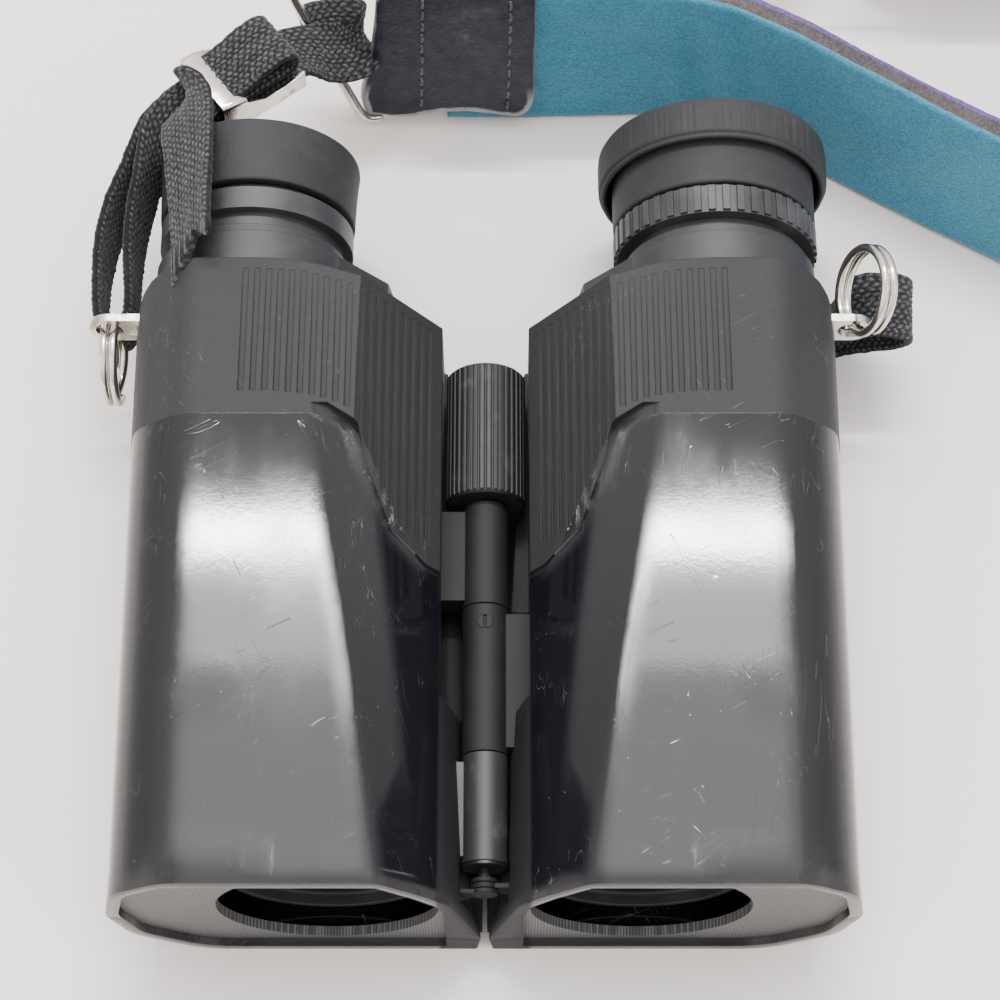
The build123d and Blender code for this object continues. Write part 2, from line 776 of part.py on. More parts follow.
right_webbing_points = [
    (46.8, 118.0, 3.7),
    (47.4, 108.0, 3.7),
    (49.8, 101.8, 4.8),
    (52.2, 98.9, 10.0),
    (54.8, 97.0, 16.4),
    (58.6, 96.2, 19.6),
    (63.6, 95.8, 19.6),
    (66.6, 95.6, 17.2),
    (65.6, 95.6, 12.6),
    (61.0, 95.8, 8.4),
    (56.0, 96.6, 4.4),
    (52.0, 98.4, 2.0),
    (49.4, 101.8, 1.4),
    (47.4, 108.0, 1.4),
    (46.4, 118.0, 1.4),
    (44.8, 133.4, 1.5),
    (40.6, 145.0, 1.5),
    (36.6, 155.6, 1.6),
    (33.8, 165.0, 3.4),
    (35.4, 172.4, 8.6),
    (42.6, 174.6, 14.6),
    (49.6, 174.2, 17.2),
    (55.0, 174.4, 17.6),
]

pieces = {}


def keep(name, shape):
    pieces[name] = shape


def both(name, shape):
    """Keep a piece of the right barrel and its mirror image on the left."""
    keep("right_" + name, shape)
    keep("left_" + name, mirror(shape, about=Plane.YZ))


# ---------------------------------------------------------------- assemble
shell = housing()
lower_room = below_seam()
right_shell = shell - arm_slot(middle_knuckle)
left_shell = shell - arm_slot(rear_knuckle) - arm_slot(front_knuckle, 5.0)
keep("right_upper_shell", right_shell - lower_room)
keep("right_lower_shell", right_shell & lower_room)
keep("left_upper_shell", mirror(left_shell - lower_room, about=Plane.YZ))
keep("left_lower_shell", mirror(left_shell & lower_room, about=Plane.YZ))

both("front_plate", front_plate())
both("front_prism", front_prism())
both("rear_prism", rear_prism())
both("prism_clips", prism_clips())
keep("right_prism_plate", prism_plate(middle_knuckle))
keep("left_prism_plate", mirror(prism_plate(rear_knuckle), about=Plane.YZ))
keep("front_hinge_lug", mirror(front_hinge_lug(), about=Plane.YZ))
both("rear_cap", rear_cap())
keep("right_strap_lug", strap_lug(right_lug_x))
keep("left_strap_lug", mirror(strap_lug(lug_x), about=Plane.YZ))
both("shell_screws", shell_screws())
both("objective_cell", objective_cell())
both("objective_lens", objective_lens())

keep("left_eyepiece_tube", mirror(fixed_eyetube(), about=Plane.YZ))
keep("left_eyecup", mirror(raised_eyecup(), about=Plane.YZ))
keep("left_eye_lens", mirror(eye_lens(109.0), about=Plane.YZ))
keep("left_field_lens", mirror(field_lens(98.0), about=Plane.YZ))
keep("left_lens_spacer", mirror(lens_spacer(101.5, 109.0), about=Plane.YZ))
keep("left_field_stop", mirror(field_stop(90.0), about=Plane.YZ))
keep("right_eyepiece_tube", sliding_eyetube())
keep("right_eyecup", folded_eyecup())
keep("right_eye_lens", eye_lens(111.0))
keep("right_field_lens", field_lens(100.0))
keep("right_lens_spacer", lens_spacer(103.5, 111.0))
keep("right_field_stop", field_stop(92.0))
keep("diopter_ring", diopter_ring())

keep("hinge_axle", hinge_axle())
keep("hinge_set_screw", set_screw())
keep("focus_knob", focus_knob())
keep("focus_knob_cap", knob_cap())
keep("focus_push_rod", focus_bridge())
keep("right_focus_arm", right_focus_arm())

left_ring_centre = (-lug_x, lug_y - 2.6, lug_z - ring_radius * 0.92)
keep("left_split_ring", axis_ring(left_ring_centre, (1, 0, 0), ring_radius, ring_wire))
ring_lean = Vector(0.27, 0.51, 0.81).normalized()
right_ring_centre = Vector(right_lug_x, lug_y, lug_z) + ring_lean * ring_radius
keep(
    "right_split_ring",
    axis_ring(right_ring_centre, (0.913, 0.126, -0.388), ring_radius, ring_wire),
)

keep("strap_pad", pad())
keep("left_leather_tab", leather_tab(left_tab_x, left_tab_y))
keep("right_leather_tab", leather_tab(right_tab_x, right_tab_y))
keep("left_wire_loop", wire_loop(left_tab_x, left_tab_y, 3.6))
keep("right_wire_loop", wire_loop(right_tab_x, right_tab_y, 0.0))
keep("left_keeper", keeper((-39.05, 136.35, 25.5), (0.79, 0.61, 0.0), (0, 0, 1)))
keep("right_keeper", keeper((46.5, 173.4, 15.9), (1, 0, 0), (0, -1, 0)))
keep("left_webbing", cord("left_webbing", left_webbing_points, webbing_tube))
keep("left_webbing_return", cord("left_webbing_return", left_return_points, webbing_tube))
keep("right_webbing", cord("right_webbing", right_webbing_points, webbing_tube))

os.makedirs("parts", exist_ok=True)
to_origin = Pos(0, -total_length / 2, 0)
for name, shape in pieces.items():
    export_step(to_origin * shape, f"parts/{name}.step")
print(len(pieces), "pieces")
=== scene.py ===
import math

import bmesh
import bpy
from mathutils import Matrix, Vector, noise


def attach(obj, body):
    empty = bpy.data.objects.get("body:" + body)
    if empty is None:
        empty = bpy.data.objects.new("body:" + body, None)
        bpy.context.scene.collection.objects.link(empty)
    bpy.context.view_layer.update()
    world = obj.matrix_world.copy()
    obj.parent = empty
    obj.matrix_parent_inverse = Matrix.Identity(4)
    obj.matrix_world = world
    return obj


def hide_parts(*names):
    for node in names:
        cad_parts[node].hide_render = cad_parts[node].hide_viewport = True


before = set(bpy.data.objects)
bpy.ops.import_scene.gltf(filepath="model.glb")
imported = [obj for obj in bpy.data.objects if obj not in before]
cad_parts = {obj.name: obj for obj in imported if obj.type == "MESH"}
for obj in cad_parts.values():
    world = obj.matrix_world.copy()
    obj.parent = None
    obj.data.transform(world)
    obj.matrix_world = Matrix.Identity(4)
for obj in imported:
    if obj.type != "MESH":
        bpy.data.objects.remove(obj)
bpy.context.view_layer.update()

mm = 0.001
middleY = 61.7  # the construction drawing measures Y from the front faces, this far in front


def at(x, y, z):  # a point of the construction drawing, in metres in this frame
    return Vector((x * mm, (y - middleY) * mm, z * mm))


def addObject(name, data):
    made = bpy.data.objects.new(name, data)
    bpy.context.scene.collection.objects.link(made)
    return made


def grey(level, blue):
    return (level, level, blue, 1)


# ---- camera: tilted from straight down, with a long lens
view = {"place": (2.2, -88.0, 352.0), "tilt": 24.5, "lens": 87.48, "sensor": 36.0}


def placeCamera():
    data = bpy.data.cameras.new("camera")
    data.lens = view["lens"]
    data.sensor_width = view["sensor"]
    data.clip_start = 0.01
    camera = addObject("camera", data)
    camera.location = at(*view["place"])
    camera.rotation_euler = (math.radians(view["tilt"]), 0, 0)
    bpy.context.scene.camera = camera


placeCamera()


# ---- shader and geometry graphs, with Python's operators on their sockets
class Wire:  # one output of a node; wire * 2 + 1 adds the Math nodes for it
    def __init__(self, graph, socket):
        self.graph = graph
        self.socket = socket

    def __add__(self, other):
        return self.graph.maths("ADD", self, other)

    def __radd__(self, other):
        return self.graph.maths("ADD", other, self)

    def __sub__(self, other):
        return self.graph.maths("SUBTRACT", self, other)

    def __rsub__(self, other):
        return self.graph.maths("SUBTRACT", other, self)

    def __mul__(self, other):
        return self.graph.maths("MULTIPLY", self, other)


class Graph:
    def __init__(self, tree):
        self.tree = tree

    def node(self, kind, settings=None, values=None, output=0):
        made = self.tree.nodes.new(kind)
        for name, value in (settings or {}).items():
            setattr(made, name, value)
        for name, value in (values or {}).items():
            if isinstance(value, Wire):
                self.tree.links.new(value.socket, made.inputs[name])
            else:
                made.inputs[name].default_value = value
        return Wire(self, made.outputs[output]) if len(made.outputs) else None

    def maths(self, operation, *values):
        return self.node("ShaderNodeMath", {"operation": operation}, dict(enumerate(values)))

    def clamped(self, value):
        return self.node("ShaderNodeClamp", values={0: value})

    def step(self, value, low, high):  # 0 below low, 1 above high, smooth between
        settings = {"interpolation_type": "SMOOTHSTEP"}
        return self.node("ShaderNodeMapRange", settings, {0: value, 1: low, 2: high})

    def mix(self, factor, first, second):
        settings = {"data_type": "RGBA"}
        return self.node("ShaderNodeMix", settings, {0: factor, 6: first, 7: second}, 2)

    def place(self):
        return self.node("ShaderNodeTexCoord", output="Object")

    def parts(self, vector):
        made = self.node("ShaderNodeSeparateXYZ", values={0: vector}).socket.node
        return [Wire(self, made.outputs[i]) for i in range(3)]

    def noise(self, vector, size, detail=2.0, rough=0.5):  # size in metres
        values = {"Vector": vector, "Scale": 1 / size, "Detail": detail, "Roughness": rough}
        return self.node("ShaderNodeTexNoise", values=values)

    def stretched(self, vector, x, y, z):
        scaled = {"operation": "MULTIPLY"}
        return self.node("ShaderNodeVectorMath", scaled, {0: vector, 1: (x, y, z)})

    def cells(self, vector, size):
        return self.node("ShaderNodeTexVoronoi", values={"Vector": vector, "Scale": 1 / size})

    def dust(self, vector, spacing, size, patch, cover):  # specks that gather in patches
        specks = self.step(self.cells(vector, spacing), *size)
        return specks * self.step(self.noise(vector, patch, 2), *cover)

    def carried(self, name):  # a value that the mesh carries at its points
        return self.node("ShaderNodeAttribute", {"attribute_name": name}, output="Fac")

    def bump(self, height, depth, normal=None):  # depth in metres for height 1
        values = {"Strength": 1.0, "Distance": depth, "Height": height}
        if normal is not None:
            values["Normal"] = normal
        return self.node("ShaderNodeBump", values=values)

    def blend(self, factor, first, second):  # mixes two normals
        settings = {"data_type": "VECTOR"}
        return self.node("ShaderNodeMix", settings, {0: factor, 4: first, 5: second}, 1)

    def rounded(self, radius):
        return self.node("ShaderNodeBevel", {"samples": 4}, {"Radius": radius})

    def surface(self, **values):
        named = {name.replace("_", " "): value for name, value in values.items()}
        made = self.node("ShaderNodeBsdfPrincipled", values=named)
        self.node("ShaderNodeOutputMaterial", values={"Surface": made})


def newMaterial(name):  # with its graph and the place in the object
    made = bpy.data.materials.new(name)
    made.use_nodes = True
    made.node_tree.nodes.clear()
    g = Graph(made.node_tree)
    return made, g, g.place()


# ---- light: a bright window strip and a soft ceiling overhead, a dimmer room round them
lighting = {
    "window": {"place": (0.0, 0.783, 1.842), "size": (1.25, 0.036), "watts": 27.0},
    "glow": {"place": (0.0, 0.765, 1.91), "size": (1.3, 0.165), "watts": 8.0},
    "ceiling": {"place": (0.0, 0.36, 1.95), "size": (1.6, 0.66), "watts": 11.5},
    "leftFill": {"place": (-1.5, -0.6, 1.0), "size": (1.0, 0.8), "watts": 4.0},
    "rightFill": {"place": (1.5, -0.6, 1.0), "size": (1.0, 0.8), "watts": 4.0},
    "zenith": (1.84, 1.78, 1.73, 1.0),
    "horizon": (0.98, 0.95, 0.92, 1.0),
}


def areaLight(name, place, size, watts):
    data = bpy.data.lights.new(name, "AREA")
    data.shape = "RECTANGLE"
    data.size, data.size_y = size
    data.energy = watts
    lamp = addObject(name, data)
    lamp.location = place
    lamp.rotation_euler = (-Vector(place)).to_track_quat("-Z", "Y").to_euler()


def buildLights():
    for name in ("window", "glow", "ceiling", "leftFill", "rightFill"):
        areaLight(name + "Light", **lighting[name])
    world = bpy.data.worlds.new("room")
    bpy.context.scene.world = world
    world.use_nodes = True
    world.node_tree.nodes.clear()
    g = Graph(world.node_tree)
    up = g.parts(g.node("ShaderNodeTexCoord", output="Generated"))[2]
    colour = g.mix(g.step(up, 0.05, 0.75), lighting["horizon"], lighting["zenith"])
    sky = g.node("ShaderNodeBackground", values={"Color": colour, "Strength": 1.0})
    g.node("ShaderNodeOutputWorld", values={"Surface": sky})


def buildFloor():
    corners = [(-3, -3, 0), (3, -3, 0), (3, 3, 0), (-3, 3, 0)]
    material, g, place = newMaterial("tableTop")
    cloudy = g.step(g.noise(place, 0.16, 3), 0.3, 0.7)
    fine = g.noise(place, 0.0016, 2)
    colour = g.mix(cloudy, (0.955, 0.905, 0.870, 1), (0.975, 0.930, 0.900, 1))
    g.surface(Base_Color=colour, Roughness=0.62, Normal=g.bump(fine, 0.00002))
    floor = meshObject("floor", corners, [(0, 1, 2, 3)], material)


# ---- mesh helpers; every place is in the mesh and the objects stay at the origin
def setSmooth(mesh):
    mesh.polygons.foreach_set("use_smooth", [True] * len(mesh.polygons))


def meshObject(name, vertices, faces, *materials):
    mesh = bpy.data.meshes.new(name)
    mesh.from_pydata([tuple(v) for v in vertices], [], faces)
    mesh.validate()
    setSmooth(mesh)
    for material in materials:
        mesh.materials.append(material)
    return addObject(name, mesh)


def ringFaces(count, sides, closed=False):  # quads between each ring of points and the next
    pairs = [(i * sides, (i + 1) % count * sides) for i in range(count if closed else count - 1)]
    turns = [(j, (j + 1) % sides) for j in range(sides)]
    return [(a + j, b + j, b + n, a + n) for a, b in pairs for j, n in turns]


def ringPoints(place, first, second, radius, sides):  # a circle in the plane of two directions
    turns = [2 * math.pi * j / sides for j in range(sides)]
    return [place + (first * math.cos(a) + second * math.sin(a)) * radius * mm for a in turns]


def divided(points, step):  # the same line with points about this far apart, without its last one
    made = []
    for (a, b), (c, d) in zip(points, points[1:]):
        count = max(1, round(math.hypot(c - a, d - b) / step))
        made += [(a + (c - a) * k / count, b + (d - b) * k / count) for k in range(count)]
    return made


def carry(piece, name, values):
    piece.data.attributes.new(name, "FLOAT", "POINT").data.foreach_set("value", values)


def placePiece(piece, body, slot, *nodes):
    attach(piece, body)
    if nodes:
        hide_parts(*nodes)
    print(piece.name, "faces", len(piece.data.polygons))


def evaluatedMesh(piece):
    graph = bpy.context.evaluated_depsgraph_get()
    return bpy.data.meshes.new_from_object(piece.evaluated_get(graph))


def applyModifiers(piece):
    mesh = evaluatedMesh(piece)
    mesh.name = piece.name
    piece.modifiers.clear()
    old = piece.data
    piece.data = mesh
    bpy.data.meshes.remove(old)


def cleanMesh(piece, merge=1e-7):
    shape = bmesh.new()
    shape.from_mesh(piece.data)
    bmesh.ops.remove_doubles(shape, verts=shape.verts, dist=merge)
    bmesh.ops.recalc_face_normals(shape, faces=shape.faces)
    shape.to_mesh(piece.data)
    shape.free()


def routeLine(points):  # the smooth NURBS line of these control points
    curve = bpy.data.curves.new("route", "CURVE")
    curve.dimensions = "3D"
    curve.resolution_u = 32
    spline = curve.splines.new("NURBS")
    spline.points.add(len(points) - 1)
    for point, place in zip(spline.points, points):
        point.co = (*at(*place), 1.0)
    spline.order_u = 3
    spline.use_endpoint_u = True
    holder = addObject("route", curve)
    mesh = evaluatedMesh(holder)
    line = [v.co.copy() for v in mesh.vertices]
    bpy.data.objects.remove(holder)
    bpy.data.curves.remove(curve)
    bpy.data.meshes.remove(mesh)
    return line


def evenly(line, step):
    reach = [0.0]
    for a, b in zip(line, line[1:]):
        reach.append(reach[-1] + (b - a).length)
    count = max(2, round(reach[-1] / step))
    made, i = [], 0
    for k in range(count + 1):
        target = reach[-1] * k / count
        while i < len(line) - 2 and reach[i + 1] < target:
            i += 1
        span = reach[i + 1] - reach[i]
        made.append(line[i].lerp(line[i + 1], (target - reach[i]) / span if span else 0.0))
    return made, reach[-1]


def along(keys, share):  # the value between (share, value) keys, blended smoothly
    for (a, first), (b, second) in zip(keys, keys[1:]):
        if share <= b:
            t = (share - a) / (b - a)
            t = t * t * (3 - 2 * t)
            return Vector(first) * (1 - t) + Vector(second) * t
    return Vector(keys[-1][1])


def tangents(line):
    ends = [line[0]] + line + [line[-1]]
    return [(b - a).normalized() for a, b in zip(ends, ends[2:])]


# ---- flat webbing of the strap
webbing = {
    "width": 10.0,
    "thickness": 1.5,
    "yarns": 13,  # ribs across the width
    "beat": 1.3,  # length of one yarn's over-and-under
    "relief": 0.22,
    "grid": 0.24,  # between the mesh's points
    "flat": 0.86,  # share of the half width before the edge rounds off
}


def webbingMaterial():
    material, g, place = newMaterial("blackWebbing")
    lift = g.carried("lift")
    weave = g.node("ShaderNodeTexCoord", output="UV")
    fibre = g.noise(g.stretched(weave, 9000, 1600, 1), 1.0, 2)
    wearAndHighlight = g.noise(place, 0.0011, 3, 0.7)
    fuzzAndGlints = g.noise(place, 0.0003, 2)
    # painted light: the raised yarns are painted lighter as a painted highlight, the hollows
    # between them darker as painted shade; the noise makes the highlight uneven
    raised = g.clamped(g.step(lift, 0.2, 1.0) + (wearAndHighlight - 0.5) * 1.1)
    shadedAndLitYarns = g.mix(raised, grey(0.005, 0.007), (0.048, 0.046, 0.052, 1))
    # light flecks on the fibre fuzz, more of them on the raised yarns: painted glints
    colour = g.mix(g.step(fuzzAndGlints + raised * 0.25, 0.66, 0.86) * 0.6, shadedAndLitYarns, (0.15, 0.145, 0.155, 1))
    g.surface(
        Base_Color=colour,
        Roughness=0.85,
        Normal=g.bump(fibre * 0.6 + fuzzAndGlints * 0.9, 0.00012),
        Specular_IOR_Level=0.25,
        Sheen_Weight=0.10,
        Sheen_Roughness=0.5,
    )
    return material


def webbingStrip(name, points, widthKeys, material, cutEnd):
    line, length = evenly(routeLine(points), webbing["grid"] * mm)
    width, thick = webbing["width"] * mm, webbing["thickness"] * mm
    yarns, beat, relief = webbing["yarns"], webbing["beat"] * mm, webbing["relief"] * mm
    across = round(webbing["width"] / webbing["grid"])
    # (place across from -1 to 1, side) round the strip
    profile = [(-1 + 2 * k / across, 1) for k in range(across + 1)]
    profile += [(1 - 2 * k / across, -1) for k in range(across + 1)]
    vertices, lifts, coords = [], [], []
    for i, (place, forward) in enumerate(zip(line, tangents(line))):
        share = i / (len(line) - 1)
        side = along(widthKeys, share)
        side = (side - forward * side.dot(forward)).normalized()
        out = forward.cross(side)
        distance = share * length
        for a, face in profile:
            column = (a * 0.5 + 0.5) * yarns
            index = min(yarns - 1, int(column))
            within = (column - index) * 2 - 1
            edge = index in (0, yarns - 1)
            phase = math.pi * (index % 2) + (math.pi if face < 0 else 0) + (0.9 if edge else 0)
            slant = within * (1.1 if index % 2 else -1.1)
            turn = 2 * math.pi * distance / (beat * (0.8 if edge else 1)) + phase + slant
            wave = 0.5 + 0.5 * math.cos(turn)
            ridge = math.sqrt(max(0.0, 1 - within * within))
            raised = ridge * (0.30 + 0.70 * wave**0.7)
            past = max(0.0, abs(a) - webbing["flat"]) / (1 - webbing["flat"])
            body = math.sqrt(max(0.0, 1 - past * past * 0.92))
            wander = noise.noise(place * 1500 + Vector((a, face, 0)) * 9) * 0.26 * mm
            height = thick / 2 * body - relief * (1 - raised) * body + wander * 0.5
            reach = a * width / 2 + noise.noise(place * 700 + Vector((a, 0, 0))) * 0.2 * mm
            cut = cutEnd * abs(a - 0.35) * mm if share > 0.999 else 0.0
            vertices.append(place + side * reach + out * face * height + forward * cut)
            lifts.append(raised)
            coords.append((a * width / 2, distance))
    ring = len(profile)
    faces = ringFaces(len(line), ring)
    for start in (0, (len(line) - 1) * ring):  # the two cut ends
        for k in range(across):
            quad = (start + k, start + k + 1, start + ring - 2 - k, start + ring - 1 - k)
            faces.append(quad[::-1] if start == 0 else quad)
    strip = meshObject(name, vertices, faces, material)
    carry(strip, "lift", lifts)
    layer = strip.data.uv_layers.new(name="weave")
    for loop in strip.data.loops:
        layer.data[loop.index].uv = coords[loop.vertex_index]
    cleanMesh(strip)
    return strip, line, length


strapRoutes = {
    # from the ring on the left barrel to the keeper, through it and round the wire loop
    "leftRun": [
        (-58.2, 92.2, 18.0), (-59.5, 92.5, 18.0), (-60.2, 94.0, 18.0), (-60.4, 97.6, 18.2),
        (-60.5, 104.0, 18.7), (-59.4, 111.0, 19.6), (-57.2, 117.0, 20.6), (-54.4, 122.4, 21.7),
        (-50.8, 127.4, 22.8), (-45.2, 131.6, 23.2), (-39.0, 136.4, 23.2), (-32.9, 141.1, 23.2),
        (-29.2, 143.4, 21.4), (-25.4, 144.4, 19.0), (-21.6, 146.0, 17.6), (-20.2, 148.6, 17.2),
        (-21.8, 151.0, 17.0), (-26.0, 150.4, 17.4), (-30.0, 148.4, 18.4),
    ],
    # the other run: into the keeper, folded at its far end and out again as the loose tail
    "leftReturn": [
        (-57.0, 92.4, 18.0), (-56.0, 92.8, 18.0), (-55.4, 94.2, 18.0), (-55.3, 97.6, 18.2),
        (-55.7, 103.4, 18.8), (-55.4, 109.6, 19.8), (-54.4, 115.6, 21.2), (-52.8, 121.0, 22.8),
        (-50.0, 126.2, 24.6), (-45.2, 131.6, 25.5), (-39.0, 136.4, 25.5), (-34.6, 139.8, 25.5),
        (-33.3, 140.8, 26.1), (-33.2, 140.9, 28.9), (-34.8, 139.6, 30.0), (-39.0, 136.4, 28.9),
        (-41.1, 134.7, 27.8), (-46.2, 130.8, 27.9), (-46.8, 127.8, 30.6), (-46.4, 122.2, 33.8),
        (-45.4, 114.4, 35.6), (-44.8, 106.4, 35.8), (-44.2, 99.2, 36.6),
    ],
    # from under the right barrel up to its ring, folded there and back down along the table
    "rightRun": [
        (48.6, 115.0, 3.6), (48.8, 108.0, 3.7), (50.2, 101.8, 5.0), (52.4, 98.9, 10.0),
        (54.8, 96.6, 16.4), (58.6, 96.6, 20.4), (63.8, 96.4, 20.6), (66.6, 96.6, 18.2),
        (65.4, 97.6, 14.2), (61.0, 99.0, 10.4), (56.0, 99.8, 6.0), (52.0, 100.2, 2.8),
        (49.4, 101.8, 1.4), (47.4, 108.0, 1.4), (46.4, 118.0, 1.4), (44.8, 133.4, 1.5),
        (40.6, 145.0, 1.5), (36.6, 155.6, 1.6), (33.8, 165.0, 3.4), (35.4, 172.4, 8.6),
        (42.6, 174.6, 14.6), (49.6, 174.2, 17.2), (57.3, 174.5, 17.6),
    ],
}

# width directions along each run: upright by the rings and the loops, flat in the keeper
strapWidths = {
    "leftRun": [
        (0.0, (0.0, 0.0, 1.0)), (0.30, (-0.15, 0.1, 1.0)), (0.56, (-0.61, 0.79, 0.0)),
        (0.70, (-0.61, 0.79, 0.0)), (0.80, (-0.42, 0.74, 0.52)), (1.0, (-0.40, 0.74, 0.54)),
    ],
    "leftReturn": [
        (0.0, (0.0, 0.0, 1.0)), (0.22, (-0.15, 0.1, 1.0)), (0.42, (-0.61, 0.79, 0.0)),
        (0.66, (-0.61, 0.79, 0.0)), (0.80, (0.80, 0.0, 0.55)), (1.0, (0.62, 0.0, 0.78)),
    ],
    "rightRun": [
        (0.0, (1.0, 0.0, 0.0)), (0.09, (1.0, 0.05, 0.0)), (0.15, (0.6, 0.7, 0.3)),
        (0.19, (0.0, 0.91, 0.42)), (0.27, (0.0, 0.91, 0.36)), (0.33, (0.1, 0.95, 0.1)),
        (0.38, (0.25, 0.95, 0.0)), (0.43, (0.8, 0.6, 0.0)), (0.47, (1.0, 0.25, 0.0)),
        (0.79, (0.94, 0.34, 0.0)), (0.895, (0.3, 0.1, 1.0)), (1.0, (0.0, 0.0, 1.0)),
    ],
}


def buildStrapCords():
    material = webbingMaterial()
    made = []
    for name, route, node, end, exitPoint in (
        ("leftWebbing", "leftRun", "left_webbing", "object", (-57.6, 92.4, 18.0)),
        ("leftWebbingTail", "leftReturn", "left_webbing_return", "bare", (-57.6, 92.4, 18.0)),
        ("rightWebbing", "rightRun", "right_webbing", "object", (48.6, 115.0, 3.6)),
    ):
        slant = 5.0 if end == "bare" else 0.0  # of the cut end
        points, widthKeys = strapRoutes[route], strapWidths[route]
        strip, line, length = webbingStrip(name, points, widthKeys, material, slant)
        placePiece(strip, "left_barrel", "webbing", node)
        made.append((strip, line, length, end, exitPoint))
        print(name, "length", round(length * 1000, 1), "mm")
    return made


# ---- foam pad of the strap: teal cloth outside, purple inside, a cut foam edge between
padding = {
    "thickness": 4.0,
    "low": 0.35,
    "high": 30.2,
    "step": 0.8,
    "rows": 44,
    "edgeRows": 6,
    "lean": [  # (share of the length, how far the top edge stands behind the lower one)
        (0.0, 3.0), (0.18, 2.8), (0.26, 2.2), (0.34, 1.9), (0.5, 1.9), (0.62, 1.0), (1.0, 0.0),
    ],
    "route": [
        (-6.8, 147.6, 0), (20.0, 147.8, 0), (34.0, 148.0, 0), (46.0, 143.2, 0), (58.0, 135.4, 0),
        (76.0, 123.8, 0), (97.0, 112.0, 0), (118.0, 115.2, 0), (131.0, 131.0, 0),
        (131.5, 152.0, 0), (121.0, 169.0, 0), (102.5, 174.6, 0), (77.2, 174.6, 0),
    ],
}


def clothMaterial(name, shade, light):
    material, g, place = newMaterial(name)
    knit = g.cells(place, 0.00050)
    nap = g.noise(place, 0.00055, 2, 0.8)
    brushed = g.noise(place, 0.009, 4, 0.6)
    tone = g.step(brushed, 0.30, 0.72) * 0.22 + g.step(nap, 0.36, 0.64) * 0.50
    g.surface(
        Base_Color=g.mix(g.clamped(tone + knit * 0.30 - 0.06), shade, light),
        Roughness=0.92,
        Normal=g.bump(knit * -0.8 + nap * 1.1, 0.00014),
        Sheen_Weight=0.35,
        Sheen_Roughness=0.35,
    )
    return material


def foamMaterial():
    material, g, place = newMaterial("foamEdge")
    pores = g.cells(place, 0.0005)
    streak = g.noise(place, 0.004, 3)
    grain = g.noise(place, 0.0004, 2)
    tone = g.step(streak * 0.4 + grain, 0.45, 0.95)
    colour = g.mix(tone, (0.046, 0.038, 0.043, 1), (0.095, 0.082, 0.090, 1))
    g.surface(Base_Color=colour, Roughness=0.9, Normal=g.bump(pores, 0.00018))
    return material


def buildPad():
    p = padding
    line, length = evenly(routeLine(p["route"]), p["step"] * mm)
    half = p["thickness"] / 2
    rows, edgeRows = p["rows"], p["edgeRows"]
    middle, tall = (p["low"] + p["high"]) / 2, (p["high"] - p["low"]) / 2
    # (out, up, kind): up the teal side, over the top edge, down the purple side, back underneath
    profile = [(1.0, -1 + 2 * k / rows, 0) for k in range(rows + 1)]
    profile += [(1 - 2 * k / edgeRows, 1.0, 1) for k in range(1, edgeRows)]
    profile += [(-1.0, 1 - 2 * k / rows, 2) for k in range(rows + 1)]
    profile += [(-1 + 2 * k / edgeRows, -1.0, 1) for k in range(1, edgeRows)]
    forwards = tangents(line)
    vertices = []
    for i, (place, forward) in enumerate(zip(line, forwards)):
        share = i / (len(line) - 1)
        lean = 0.0
        for (a, first), (b, second) in zip(p["lean"], p["lean"][1:]):
            if a <= share <= b:
                lean = first + (second - first) * (share - a) / (b - a)
        before, after = forwards[max(0, i - 8)], forwards[min(len(line) - 1, i + 8)]
        bend = before.cross(after).z  # over 12.8 mm; positive where it turns left
        out = Vector((forward.y, -forward.x, 0))
        distance = share * length
        for reach, up, kind in profile:
            edge = min(1.0, (1 - abs(up)) * tall / 1.1) if kind != 1 else 0.0
            full = half * (0.86 + 0.14 * math.sqrt(edge))
            inner = (reach > 0 and bend < 0) or (reach < 0 and bend > 0)
            crease = 0.0
            if inner and kind != 1:
                crease = abs(bend) * 1.6 * math.sin(distance / 0.0016 + up * 2.2) * (1 - up * up)
            wander = noise.noise(Vector((distance / 0.021, up * 1.4, reach * 3))) * 0.5
            wander += noise.noise(Vector((distance / 0.007, up * 3.0, reach * 5))) * 0.14
            wave = noise.noise(Vector((distance / 0.016, up * 9, 4.0))) * 0.35
            fringe = 0.0
            if abs(up) > 0.98:
                fringe = noise.noise(place * 2600 + Vector((0, 0, up * 5))) * 0.16
            offset = reach * full + wander * (1 - 0.4 * abs(up)) - crease - lean * up / 2
            rise = middle + up * tall * 0.985
            rise += wave + fringe if up > 0 else max(0.0, wave) + fringe * 0.5
            if kind == 1:
                rise -= (1 - reach * reach) * 0.22 * up
            vertices.append(place + out * offset * mm + Vector((0, 0, rise * mm)))
    ring = len(profile)
    faces = ringFaces(len(line), ring)
    column = []  # material of the faces between each two points of the profile
    for (_, _, a), (_, _, b) in zip(profile, profile[1:] + profile[:1]):
        column.append(2 if (a, b) == (1, 2) else 0 if (a, b) == (0, 1) else 1 if 1 in (a, b) else a)
    last = (len(line) - 1) * ring
    faces.append(tuple(range(ring)))
    faces.append(tuple(last + k for k in reversed(range(ring))))
    kinds = column * (len(line) - 1) + [1, 1]
    teal = clothMaterial("tealCloth", (0.016, 0.140, 0.235, 1), (0.058, 0.275, 0.385, 1))
    foam = foamMaterial()
    purple = clothMaterial("purpleCloth", (0.060, 0.030, 0.150, 1), (0.150, 0.090, 0.340, 1))
    pad = meshObject("strapPad", vertices, faces, teal, foam, purple)
    pad.data.polygons.foreach_set("material_index", kinds)
    cleanMesh(pad)
    placePiece(pad, "left_barrel", "neoprene", "strap_pad")
    print("strap pad", round(length * 1000), "mm along")
    return pad


